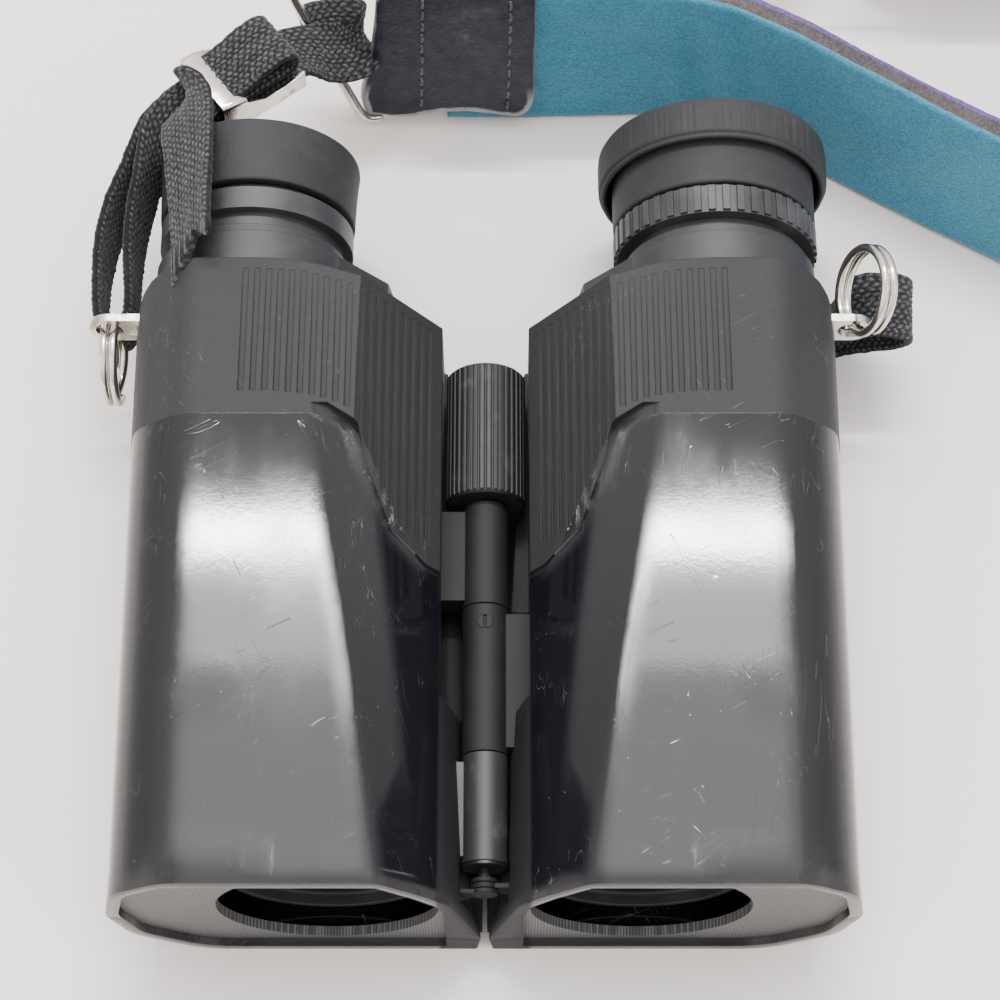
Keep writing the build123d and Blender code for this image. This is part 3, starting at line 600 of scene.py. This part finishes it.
# ---- leather tabs with rows of stitches
tabs = {
    "length": 26.0,
    "low": 3.2,
    "high": 33.4,
    "corner": 3.2,
    "thickness": 6.2,
    "fold": 11.0,  # up to here the tab is thinner, by the wire's fold
    "lean": {"leftTab": 3.2, "rightTab": 0.0},  # how far the tab's top stands behind its foot
    "inset": [  # (distance in from the outline, share of the thickness)
        (0.0, 0.0), (0.0, 0.55), (0.25, 0.85), (0.7, 1.0), (1.8, 1.06), (4.0, 1.10), (8.0, 1.12),
    ],
    "rows": [(7.2, 0.035), (21.6, 0.02)],  # place and slope of the two rows of stitches
    "stitchLength": 1.75,
    "stitchGap": 0.85,
    "threadRadius": 0.24,
}


def leatherMaterial():
    material, g, place = newMaterial("blackLeather")
    up = g.parts(place)[2]
    pores = g.cells(place, 0.0007)
    grain = g.noise(place, 0.0022, 4, 0.6)
    rub = g.noise(place, 0.0045, 5, 0.7)
    patch = g.noise(place, 0.011, 2)
    wearAndHighlight = g.step(patch, 0.56, 0.74) * g.step(rub, 0.40, 0.75)
    edge = g.carried("edge")
    scuffsAndEdgeHighlight = g.step(edge + (rub - 0.5) * 0.5, 0.22, 0.50) * g.step(up, 0.0105, 0.0060)
    # the first mask is scuffing along the foot; this second, thin lighter line round the whole
    # outline is a painted highlight on the rounded edge
    scuffsAndEdgeHighlight = g.clamped(scuffsAndEdgeHighlight + g.step(edge + (rub - 0.5) * 0.4, 0.78, 1.0) * 0.6)
    base = g.mix(g.step(grain, 0.3, 0.7), grey(0.013, 0.022), grey(0.026, 0.040))
    colour = g.mix(wearAndHighlight * 0.5, base, grey(0.16, 0.20))
    colour = g.mix(scuffsAndEdgeHighlight, colour, g.mix(grain, (0.22, 0.21, 0.22, 1), (0.42, 0.41, 0.42, 1)))
    rough = 0.50 + wearAndHighlight * 0.2 + scuffsAndEdgeHighlight * 0.3
    normal = g.bump(grain * 0.7 + pores * 0.5 + scuffsAndEdgeHighlight * rub, 0.00016)
    g.surface(Base_Color=colour, Roughness=rough, Normal=normal, Specular_IOR_Level=0.25)
    return material


def threadMaterial():
    material, g, place = newMaterial("blackThread")
    twistAndGlints = g.noise(place, 0.0003, 2)
    # light specks along the black thread: painted glints on its twist
    colour = g.mix(g.step(twistAndGlints, 0.35, 0.65), grey(0.010, 0.012), grey(0.16, 0.175))
    g.surface(Base_Color=colour, Roughness=0.7, Normal=g.bump(twistAndGlints, 0.0001))
    return material


def stitchTree():  # a row of stitches along each edge chain of the guide mesh
    tree = bpy.data.node_groups.new("stitchRow", "GeometryNodeTree")
    face = tree.interface
    face.new_socket("Geometry", in_out="INPUT", socket_type="NodeSocketGeometry")
    for name in ("Spacing", "Stitch length", "Thread radius"):
        face.new_socket(name, in_out="INPUT", socket_type="NodeSocketFloat")
    face.new_socket("Material", in_out="INPUT", socket_type="NodeSocketMaterial")
    face.new_socket("Geometry", in_out="OUTPUT", socket_type="NodeSocketGeometry")
    g = Graph(tree)
    entry = tree.nodes.new("NodeGroupInput")
    given = {s.name: Wire(g, s) for s in entry.outputs if s.name}
    radius = given["Thread radius"]
    half = given["Stitch length"] * 0.5
    curve = g.node("GeometryNodeMeshToCurve", values={"Mesh": given["Geometry"]})
    values = {"Curve": curve, "Length": given["Spacing"]}
    spots = g.node("GeometryNodeCurveToPoints", {"mode": "LENGTH"}, values)
    turned = Wire(g, spots.socket.node.outputs["Rotation"])
    values = {
        "Resolution": 7,
        "Start": g.node("ShaderNodeCombineXYZ", values={"Z": half * -1.0}),
        "Middle": g.node("ShaderNodeCombineXYZ", values={"X": radius * 1.3}),
        "End": g.node("ShaderNodeCombineXYZ", values={"Z": half}),
    }
    arch = g.node("GeometryNodeCurveQuadraticBezier", values=values)
    values = {"Resolution": 8, "Radius": radius}
    section = g.node("GeometryNodeCurvePrimitiveCircle", values=values)
    values = {"Curve": arch, "Profile Curve": section, "Fill Caps": True}
    thread = g.node("GeometryNodeCurveToMesh", values=values)
    values = {"Points": spots, "Instance": thread, "Rotation": turned}
    placed = g.node("GeometryNodeInstanceOnPoints", values=values)
    solid = g.node("GeometryNodeRealizeInstances", values={"Geometry": placed})
    values = {"Geometry": solid, "Material": given["Material"]}
    painted = g.node("GeometryNodeSetMaterial", values=values)
    leave = tree.nodes.new("NodeGroupOutput")
    tree.links.new(painted.socket, leave.inputs[0])
    return tree


def stitchPiece(name, chains, tree, material):
    vertices, edges = [], []
    for chain in chains:
        first = len(vertices)
        vertices += chain
        edges += [(first + i, first + i + 1) for i in range(len(chain) - 1)]
    mesh = bpy.data.meshes.new(name)
    mesh.from_pydata([tuple(v) for v in vertices], edges, [])
    piece = addObject(name, mesh)
    row = piece.modifiers.new("stitches", "NODES")
    row.node_group = tree
    sizes = {
        "Spacing": (tabs["stitchLength"] + tabs["stitchGap"]) * mm,
        "Stitch length": tabs["stitchLength"] * mm,
        "Thread radius": tabs["threadRadius"] * mm,
        "Material": material,
    }
    for item in tree.interface.items_tree:
        if item.in_out == "INPUT" and item.name in sizes:
            row[item.identifier] = sizes[item.name]
    applyModifiers(piece)
    setSmooth(piece.data)
    return piece


def tabOutline(x):  # corners of the tab's face, from the wire's fold round to the pad's side
    low, high, corner = tabs["low"], tabs["high"], tabs["corner"]
    far = x + tabs["length"]
    shape = [(x - 0.3, high - 10), (x - 1.5, 14.0), (x - 3.4, low + 2.2), (x - 2.6, low - 0.6)]
    shape += [(x + 1.0, low - 1.2), (x + 6.0, low - 0.4), (x + 10.0, low + 0.7)]
    shape.append((x + 15.0, low + 0.8))
    for middle, first in ((low + corner, -8), (high - corner, 0)):
        for k in range(9):
            turn = (first + k) * math.pi / 16
            shape.append((far - corner + corner * math.cos(turn), middle + corner * math.sin(turn)))
    return shape + [(x + 6.0, high), (x + 1.6, high - 1.4), (x + 0.2, high - 4.0)]


def tabDepth(name, y, z):  # where the tab's middle stands at this height
    return y + tabs["lean"][name] * z / 30


def tabHalf(reach):  # half its thickness this far from the wire's fold
    return tabs["thickness"] / 2 * min(1.0, 0.62 + 0.38 * max(0.0, reach) / tabs["fold"])


def buildTab(name, x, y, node, material, tree, thread):
    outline = tabOutline(x)
    dense = divided(outline + outline[:1], 0.9)
    middleX, middleZ = x + 13.0, 16.0
    inset = tabs["inset"]
    vertices, edges = [], []
    for side in (-1, 1):
        for depth, height in inset:
            for px, pz in dense:
                dx, dz = middleX - px, middleZ - pz
                far = math.hypot(dx, dz)
                pull = min(depth, far * 0.8)
                qx, qz = px + dx / far * pull, pz + dz / far * pull
                bulge = noise.noise(Vector((qx / 7, qz / 7, side * 2.0 + y))) * 0.22
                for row, _ in tabs["rows"]:
                    bulge -= 0.22 * math.exp(-((qx - x - row) ** 2) / 0.5)
                level = side * (height * tabHalf(qx - x) / 1.06 + bulge * min(1.0, depth))
                sway = noise.noise(Vector((qx / 9, 0.3, qz / 9 + y))) * 0.12
                curl = 0.9 * math.exp(-(((qz - tabs["low"]) / 1.6) ** 2)) if depth < 4 else 0.0
                vertices.append(at(qx, tabDepth(name, y, qz) + level + sway + side * curl, qz))
                edges.append(max(0.0, 1 - depth / 2.2))
    ring = len(dense)
    faces = []
    for side in (0, 1):
        first = side * len(inset) * ring
        faces += [tuple(first + v for v in face) for face in ringFaces(len(inset), ring)]
        top = first + (len(inset) - 1) * ring
        vertices.append(sum((vertices[top + k] for k in range(ring)), Vector()) / ring)
        edges.append(0.0)
        faces += [(top + k, top + (k + 1) % ring, len(vertices) - 1) for k in range(ring)]
    tab = meshObject(name, vertices, faces, material)
    carry(tab, "edge", edges)
    cleanMesh(tab, 1e-6)
    placePiece(tab, "left_barrel", "leather", node)
    chains = []
    for side in (-1, 1):
        for row, slope in tabs["rows"]:
            chain = []
            for k in range(24):
                z = tabs["low"] + 3.0 + k * (tabs["high"] - tabs["low"] - 6.0) / 23
                reach = row + (z - 16) * slope
                level = side * (tabHalf(reach) * 1.03 + 0.06)
                chain.append(at(x + reach, tabDepth(name, y, z) + level, z))
            chains.append(chain)
    placePiece(stitchPiece(name + "Stitches", chains, tree, thread), "left_barrel", "webbing")


# ---- bright metal: keepers, rings and wire loops
keeperSize = {
    "length": 15.5,
    "width": 12.7,
    "height": 7.4,
    "middle": 4.1,  # height in the channel of the point that places it
    "bar": 4.6,
    "sheet": 0.55,
    "bend": 0.9,
    "walls": [1.0, 1.0, 0.86, 0.52, 0.50, 0.62],  # height of the side walls from the bar's end on
}
wireSize = {"wire": 0.85, "bend": 3.4, "steps": 12, "sides": 14}
ringSize = {
    "radius": 6.45, "wire": 0.68, "pitch": 1.42, "turns": 1.86, "stations": 150, "sides": 18,
}


def nickelMaterial(name, tarnish):
    material, g, place = newMaterial(name)
    cloud = g.noise(place, 0.003, 4, 0.6)
    spots = g.cells(place, 0.0011)
    lines = g.noise(g.stretched(place, 1, 1, 14), 0.0012, 3)
    dull = g.clamped(g.step(cloud, 0.48, 0.75) * tarnish + g.step(spots, 0.16, 0.05) * 0.25)
    colour = g.mix(dull, (0.72, 0.69, 0.63, 1), (0.33, 0.27, 0.19, 1))
    rough = 0.13 + dull * 0.32 + lines * 0.07
    g.surface(Base_Color=colour, Metallic=1.0, Roughness=rough, Normal=g.bump(lines, 0.00001))
    return material


def buildKeeper(name, centre, forward, up, node, material):
    k = keeperSize
    half, tall, bend = k["width"] / 2, k["height"], k["bend"]
    section = []  # once round the channel, from the middle of its base
    for cx, cz, start in (
        (half - bend, bend, -90),
        (half - bend, tall - bend, 0),
        (bend - half, tall - bend, 90),
        (bend - half, bend, 180),
    ):
        for j in range(7):
            turn = math.radians(start + j * 15)
            section.append((cx + bend * math.cos(turn), cz + bend * math.sin(turn)))
        if start == -90:
            section += [(half, bend + (tall - 2 * bend) * t) for t in (0.3, 0.6, 0.85)]
        if start == 90:
            section += [(-half, tall - bend - (tall - 2 * bend) * t) for t in (0.15, 0.4, 0.7)]
    forward = Vector(forward).normalized()
    up = Vector(up).normalized()
    side = up.cross(forward)
    reach = k["length"] / 2
    stations = [-reach, k["bar"] / 2 - reach, k["bar"] - reach, 0.0, reach / 2, reach]
    vertices = []
    for x, wall in zip(stations, k["walls"]):
        for w, z in section:
            dent = noise.noise(Vector((x / 5, w / 5, z / 5))) * 0.12
            z = bend + (z - bend) * wall if z > bend else z
            offset = forward * x + side * w + up * (z - k["middle"] + dent)
            vertices.append(at(*centre) + offset * mm)
    count = len(section)
    faces = []
    for face in ringFaces(len(stations), count):  # open on top, apart from the bar at one end
        station, first = divmod(face[0], count)
        height = min(section[first][1], section[face[3] % count][1])
        if stations[station] < k["bar"] - reach - 0.1 or height < tall - bend - 0.1:
            faces.append(face)
    keeper = meshObject(name, vertices, faces, material)
    cleanMesh(keeper, 5e-6)
    sheet = keeper.modifiers.new("sheet", "SOLIDIFY")
    sheet.thickness = k["sheet"] * mm
    sheet.offset = -1
    edge = keeper.modifiers.new("edge", "BEVEL")
    edge.width = 0.12 * mm
    edge.segments = 2
    edge.limit_method = "ANGLE"
    edge.angle_limit = math.radians(50)
    applyModifiers(keeper)
    placePiece(keeper, "left_barrel", "nickel", node)


def buildSplitRing(name, centre, axis, start, node, body, material):
    r = ringSize
    stations, sides = r["stations"], r["sides"]
    axis = Vector(axis).normalized()
    first = Vector(start).normalized()
    first = (first - axis * first.dot(axis)).normalized()
    second = axis.cross(first)
    middle = at(*centre)
    vertices = []
    for i in range(stations + 1):
        t = i / stations
        turn = 2 * math.pi * r["turns"] * t
        radial = first * math.cos(turn) + second * math.sin(turn)
        climb = (t - 0.5) * r["turns"]
        step = math.tanh(climb * 9) * 0.5  # the coils lie flat and step across where they pass
        place = middle + (radial * r["radius"] + axis * step * r["pitch"]) * mm
        size = r["wire"] * (1.0 if 1 < i < stations - 1 else 0.82)
        vertices += ringPoints(place, radial, axis, size, sides)
    faces = ringFaces(stations + 1, sides)
    faces.append(tuple(range(sides)))
    faces.append(tuple(stations * sides + j for j in reversed(range(sides))))
    ring = meshObject(name, vertices, faces, material)
    cleanMesh(ring)
    placePiece(ring, body, "nickel", node)


def buildWireLoop(name, corners, node, material):
    w = wireSize
    places = [at(*corner) for corner in corners]
    line = []
    for i, corner in enumerate(places):
        before = corner + (places[i - 1] - corner).normalized() * w["bend"] * mm
        after = corner + (places[(i + 1) % len(places)] - corner).normalized() * w["bend"] * mm
        for j in range(w["steps"]):
            t = j / (w["steps"] - 1)
            line.append(before * (1 - t) ** 2 + corner * (2 * t * (1 - t)) + after * t**2)
    flat = (places[1] - places[0]).cross(places[2] - places[1]).normalized()
    vertices = []
    for i, place in enumerate(line):
        forward = (line[(i + 1) % len(line)] - line[i - 1]).normalized()
        side = forward.cross(flat).normalized()
        vertices += ringPoints(place, side, side.cross(forward), w["wire"], w["sides"])
    faces = ringFaces(len(line), w["sides"], closed=True)
    loop = meshObject(name, vertices, faces, material)
    cleanMesh(loop)
    placePiece(loop, "left_barrel", "nickel", node)


# ---- rubber eyecups, turned about the eyepieces' axes
cups = {
    "axis": (36.0, 20.0),
    "segments": 160,
    "rim": (17.0, 117.2, 122.6),  # least radius, and Y from and to, of the creased rim
    # radius and place along Y, from the tube round the cup and back to the tube
    "raised": [
        (13.55, 110.35), (14.6, 110.3), (15.1, 110.25), (15.28, 110.4), (15.32, 110.9),
        (15.38, 113.0), (15.52, 116.0), (15.74, 119.0), (15.90, 120.3), (15.86, 120.62),
        (15.62, 120.8), (15.1, 120.8), (14.7, 120.6), (14.45, 120.2), (14.38, 119.0),
        (14.34, 117.0), (14.2, 116.3), (13.9, 116.05), (13.55, 116.0),
    ],
    "folded": [
        (13.55, 109.45), (15.4, 109.42), (15.78, 109.5), (15.9, 109.9), (15.92, 112.0),
        (15.96, 115.0), (15.98, 118.0), (16.1, 121.0), (16.35, 121.6), (16.6, 121.2),
        (16.66, 119.6), (16.7, 117.4), (16.8, 116.6), (17.05, 116.3), (17.4, 116.25),
        (17.72, 116.4), (17.78, 116.75), (17.66, 116.95), (17.94, 117.05), (18.14, 117.3),
        (18.2, 118.4), (18.2, 121.6), (18.1, 122.7), (17.8, 123.2), (17.2, 123.4), (15.8, 123.4),
        (14.6, 123.1), (14.2, 122.6), (14.0, 122.0), (13.55, 121.9),
    ],
}


def buildCup(name, side, profile, node, body, material, creased):
    axisX, axisZ = side * cups["axis"][0], cups["axis"][1]
    fine = divided(profile, 0.45) + profile[-1:]
    segments = cups["segments"] * (3 if creased else 1)
    least, rimFrom, rimTo = cups["rim"]
    vertices = []
    for radius, y in fine:
        for k in range(segments):
            turn = 2 * math.pi * k / segments
            cx, cz = math.cos(turn), math.sin(turn)
            swell = 0.0
            if creased and radius > least and rimFrom < y < rimTo:
                fade = min(1.0, (y - rimFrom) / 0.8) * min(1.0, (rimTo - y) / 1.5)
                line = noise.noise(Vector((cx * 44, cz * 44, 0.5 + y * 0.05)))
                line += noise.noise(Vector((cx * 90, cz * 90, 3.5 + y * 0.1))) * 0.6
                patch = noise.noise(Vector((cx * 3.2, cz * 3.2, 7.0))) * 0.5 + 0.5
                swell = -max(0.0, line) * 0.42 * fade * max(0.0, patch * 1.8 - 0.35)
            wobble = noise.noise(Vector((cx * 1.6, cz * 1.6, y / 9))) * 0.07
            reach = radius + swell + wobble * min(1.0, max(0.0, radius - 13.6))
            vertices.append(at(axisX + reach * cx, y, axisZ + reach * cz))
    faces = ringFaces(len(fine), segments, closed=True)  # the last ring joins the first in the bore
    cup = meshObject(name, vertices, faces, material)
    cleanMesh(cup)
    placePiece(cup, body, "eyecup_rubber", node)


def rubberMaterial():
    material, g, place = newMaterial("cupRubber")
    grain = g.noise(place, 0.0005, 3, 0.6)
    dusty = g.noise(place, 0.007, 4, 0.65)
    specks = g.cells(place, 0.0016)
    dust = g.step(dusty, 0.45, 0.8) * 0.5 + g.step(specks, 0.13, 0.05) * 0.35
    colour = g.mix(g.clamped(dust), grey(0.020, 0.023), (0.050, 0.049, 0.053, 1))
    rough = 0.62 + dust * 0.2
    normal = g.bump(grain, 0.00008)
    g.surface(Base_Color=colour, Roughness=rough, Normal=normal, Specular_IOR_Level=0.35)
    return material


# ---- finishes of the hard parts
shellLook = {
    "base": grey(0.005, 0.008),
    "gloss": 0.055,
    "grip": grey(0.005, 0.008),
    "gripWorn": grey(0.014, 0.017),
    "gripRough": 0.66,
    "gripStart": 71.4,  # along Y; on the inner slant it starts further forward
    "slant": 0.0205,  # how far forward
}
satins = {  # darker and lighter tone, roughness, size and depth of the grain
    "satinCollar": (grey(0.020, 0.024), grey(0.036, 0.041), 0.50, 0.0006, 0.00003),
    "satinTube": (grey(0.026, 0.029), grey(0.046, 0.050), 0.44, 0.0005, 0.00002),
    "diopterPlastic": (grey(0.024, 0.027), grey(0.060, 0.064), 0.40, 0.0005, 0.00003),
    "objectiveCell": (grey(0.016, 0.018), grey(0.030, 0.033), 0.36, 0.0004, 0.00002),
    # the parts' own black, made darker still as painted shade where they sit between the barrels
    # under the hinge
    "shadedInnerBlack": (grey(0.003, 0.004), grey(0.008, 0.009), 0.70, 0.0005, 0.00002),
}
blackMetals = {  # tone and roughness
    "hingeMetal": (grey(0.012, 0.015), 0.36),
    "dullHingeMetal": (grey(0.026, 0.029), 0.46),
    "knobMetal": (grey(0.008, 0.010), 0.50),
}


def scratchMask(g, place, angle, size, threshold, patchSize):
    turning = {"rotation_type": "Z_AXIS"}
    values = {"Vector": place, "Angle": math.radians(angle)}
    turned = g.node("ShaderNodeVectorRotate", turning, values)
    lines = g.noise(g.stretched(turned, 1, 0.045, 1), size, 2)
    near = g.maths("ABSOLUTE", lines - 0.5)
    patch = g.noise(place, patchSize, 2)
    return g.step(near, threshold, 0.0) * g.step(patch, 0.58, 0.68)


def gripMask(g, out, y):  # 1 on the matt part round the prisms, 0 on the polished barrel
    slant = shellLook["slant"]
    start = (shellLook["gripStart"] - middleY) * mm
    line = g.step(out, 0.0075, 0.0215) * slant + (start - slant)
    return g.step(y - line, -0.00120, -0.00108)


def shellMaterial():
    material, g, place = newMaterial("glossBlackShell")
    look = shellLook
    x, y, _ = g.parts(place)
    out = g.maths("ABSOLUTE", x)
    grip = gripMask(g, out, y)
    gap = g.step(out, 0.0070, 0.0062)  # the walls that face each other by the hinge
    matt = g.maths("MAXIMUM", grip, gap)
    skin = g.noise(place, 0.00045, 2, 0.6)
    coarse = g.noise(place, 0.0011, 3, 0.6)
    smear = g.noise(g.stretched(place, 1, 0.45, 1), 0.014, 4, 0.62)
    dust = g.dust(place, 0.0021, (0.060, 0.025), 0.02, (0.50, 0.66))
    scratch = scratchMask(g, place, 62, 0.0021, 0.0035, 0.011)
    scratch = scratch + scratchMask(g, place, -28, 0.0030, 0.003, 0.009)
    scratch = g.clamped(scratch + scratchMask(g, place, 8, 0.0016, 0.003, 0.013))
    bare = g.mix(grip, look["base"], g.mix(coarse, look["grip"], look["gripWorn"]))
    colour = g.mix(g.clamped(dust * 0.7 + scratch * 0.25), bare, grey(0.30, 0.31))
    colour = g.mix(gap, colour, grey(0.006, 0.008))
    gloss = look["gloss"] + g.step(smear, 0.45, 0.8) * 0.04 + scratch * 0.2 + dust * 0.3
    rough = gloss * (1 - matt) + matt * look["gripRough"]
    grain = skin * (0.06 + grip * 1.7) + coarse * (0.07 + grip * 1.1)
    side = g.step(out, 0.027, 0.034)  # the outer crease is the softer one
    crease = g.blend(side, g.rounded(0.0036), g.rounded(0.0060))
    crease = g.blend(grip, crease, g.rounded(0.0003))
    normal = g.bump(grain - scratch * 1.0 + dust * 0.6, 0.00002, crease)
    g.surface(Base_Color=colour, Roughness=rough, Normal=normal)
    return material


def satinMaterial(name, base, light, rough, grain, depth):
    material, g, place = newMaterial(name)
    fine = g.noise(place, grain, 3, 0.6)
    cloud = g.noise(place, 0.008, 4, 0.62)
    dust = g.dust(place, 0.0024, (0.055, 0.02), 0.012, (0.50, 0.62))
    colour = g.mix(g.clamped(g.step(cloud, 0.35, 0.75) + dust), base, light)
    rough = rough + (cloud - 0.5) * 0.14 + dust * 0.2
    normal = g.bump(fine, depth, g.rounded(0.0002))
    g.surface(Base_Color=colour, Roughness=rough, Normal=normal)
    return material


def plateMaterial():  # moulded with a close pattern of tiny raised points
    material, g, place = newMaterial("dottedFrontPlate")
    x, _, z = g.parts(place)
    first = g.maths("SINE", (x + z) * (2 * math.pi / 0.0009))
    second = g.maths("SINE", (x - z) * (2 * math.pi / 0.0009))
    points = g.step(first * second, -0.2, 0.7)
    cloud = g.noise(place, 0.006, 3)
    # the raised points are painted lighter than the plate between them: painted highlight on their
    # tops
    colour = g.mix(points, (0.050, 0.049, 0.049, 1), (0.150, 0.147, 0.147, 1))
    rough = 0.42 + cloud * 0.14
    g.surface(Base_Color=colour, Roughness=rough, Normal=g.bump(points, 0.00007))
    return material


def blackMetalMaterial(name, base, rough):  # drawn lengthwise
    material, g, place = newMaterial(name)
    drawn = g.noise(g.stretched(place, 1, 0.05, 1), 0.0007, 3)
    cloud = g.noise(place, 0.005, 4, 0.6)
    dust = g.dust(place, 0.0019, (0.06, 0.02), 0.009, (0.52, 0.62))
    tone = g.clamped(dust + g.step(cloud, 0.55, 0.85) * 0.3)
    rough = rough + (cloud - 0.5) * 0.15 + dust * 0.2
    normal = g.bump(drawn, 0.00002, g.rounded(0.0002))
    g.surface(Base_Color=g.mix(tone, base, grey(0.16, 0.17)), Roughness=rough, Normal=normal)
    return material


def glassMaterial():
    material, g, place = newMaterial("coatedGlass")
    grazingReflection = g.node("ShaderNodeLayerWeight", values={"Blend": 0.35}, output="Facing")
    smear = g.noise(place, 0.006, 3)
    g.surface(
        # lighter, redder purple towards grazing angles: painted reflection of the coating
        Base_Color=g.mix(grazingReflection, (0.030, 0.012, 0.045, 1), (0.10, 0.03, 0.09, 1)),
        Roughness=0.04 + smear * 0.05,
        Coat_Weight=1.0,
        Coat_Roughness=0.02,
        IOR=1.6,
    )
    return material


def prismGlassMaterial():
    material, g, place = newMaterial("prismGlass")
    cloud = g.noise(place, 0.004, 2)
    colour = g.mix(cloud, (0.30, 0.34, 0.38, 1), (0.42, 0.46, 0.50, 1))
    g.surface(Base_Color=colour, Roughness=0.05, Coat_Weight=0.8, Coat_Roughness=0.03)
    return material


def steelMaterial():
    material, g, place = newMaterial("blackenedSteel")
    cloud = g.noise(place, 0.003, 4, 0.6)
    lines = g.noise(g.stretched(place, 1, 0.1, 1), 0.0006, 2)
    colour = g.mix(g.step(cloud, 0.4, 0.75), grey(0.09, 0.095), grey(0.054, 0.057))
    rough = 0.40 + lines * 0.1
    normal = g.bump(lines, 0.00001)
    g.surface(Base_Color=colour, Metallic=1.0, Roughness=rough, Normal=normal)
    return material


def dressFrame(nickel):
    satin = {name: satinMaterial(name, *values) for name, values in satins.items()}
    metal = {name: blackMetalMaterial(name, *values) for name, values in blackMetals.items()}
    finishes = {  # the endings of the names of the nodes that take each of them
        shellMaterial(): ("upper_shell", "lower_shell"),
        plateMaterial(): ("front_plate",),
        satin["satinCollar"]: ("rear_cap",),
        satin["satinTube"]: ("eyepiece_tube",),
        satin["diopterPlastic"]: ("diopter_ring",),
        satin["objectiveCell"]: ("objective_cell", "lens_spacer", "field_stop"),
        satin["shadedInnerBlack"]: ("prism_plate", "focus_push_rod", "right_focus_arm", "set_screw"),
        metal["hingeMetal"]: ("hinge_axle",),
        metal["dullHingeMetal"]: ("front_hinge_lug",),
        metal["knobMetal"]: ("focus_knob", "focus_knob_cap"),
        steelMaterial(): ("shell_screws", "prism_clips"),
        nickelMaterial("wornNickel", 0.9): ("strap_lug",),
        nickel: ("wire_loop",),
        glassMaterial(): ("objective_lens", "eye_lens", "field_lens"),
        prismGlassMaterial(): ("prism",),
    }
    dressed = 0
    for node, piece in sorted(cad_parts.items()):
        for material, endings in finishes.items():
            if node.endswith(endings):
                for slot in piece.material_slots:
                    slot.material = material
                dressed += 1
                break
    print("dressed", dressed, "of", len(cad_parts), "nodes")


# ---- putting it together
buildFloor()
buildLights()
cords = buildStrapCords()
for strip, line, length, end, start in cords:
    tuple(at(*start))
pad = buildPad()
nickel = nickelMaterial("brightNickel", 0.35)
leather, thread, rows = leatherMaterial(), threadMaterial(), stitchTree()
buildTab("leftTab", -18.0, 145.6, "left_leather_tab", leather, rows, thread)
buildTab("rightTab", 66.0, 174.6, "right_leather_tab", leather, rows, thread)
tarnished = nickelMaterial("tarnishedNickel", 0.95)
middle, forward = (-39.05, 136.35, 25.5), (0.79, 0.61, 0)
buildKeeper("leftKeeper", middle, forward, (0, 0, 1), "left_keeper", tarnished)
middle, forward = (46.5, 173.4, 15.9), (1, 0, 0)
buildKeeper("rightKeeper", middle, forward, (0, -1, 0), "right_keeper", tarnished)
middle, axis, start = (-57.6, 88.0, 17.93), (1, 0, 0), (0, 0.3, -1)
buildSplitRing("leftRing", middle, axis, start, "left_split_ring", "left_ring", nickel)
middle, axis, start = (57.78, 93.97, 29.35), (0.913, 0.126, -0.388), (-0.27, -0.51, -0.81)
buildSplitRing("rightRing", middle, axis, start, "right_split_ring", "right_ring", nickel)
corners = [(-15.5, 145.5, 1.4), (-20.5, 142.2, 1.4), (-32.5, 151.5, 27.5), (-17.0, 150.5, 31.0)]
buildWireLoop("leftWireLoop", corners, "left_wire_loop", nickel)
rubber = rubberMaterial()
buildCup("leftEyecup", -1, cups["raised"], "left_eyecup", "left_barrel", rubber, False)
buildCup("rightEyecup", 1, cups["folded"], "right_eyecup", "right_eyepiece", rubber, True)
dressFrame(nickel)
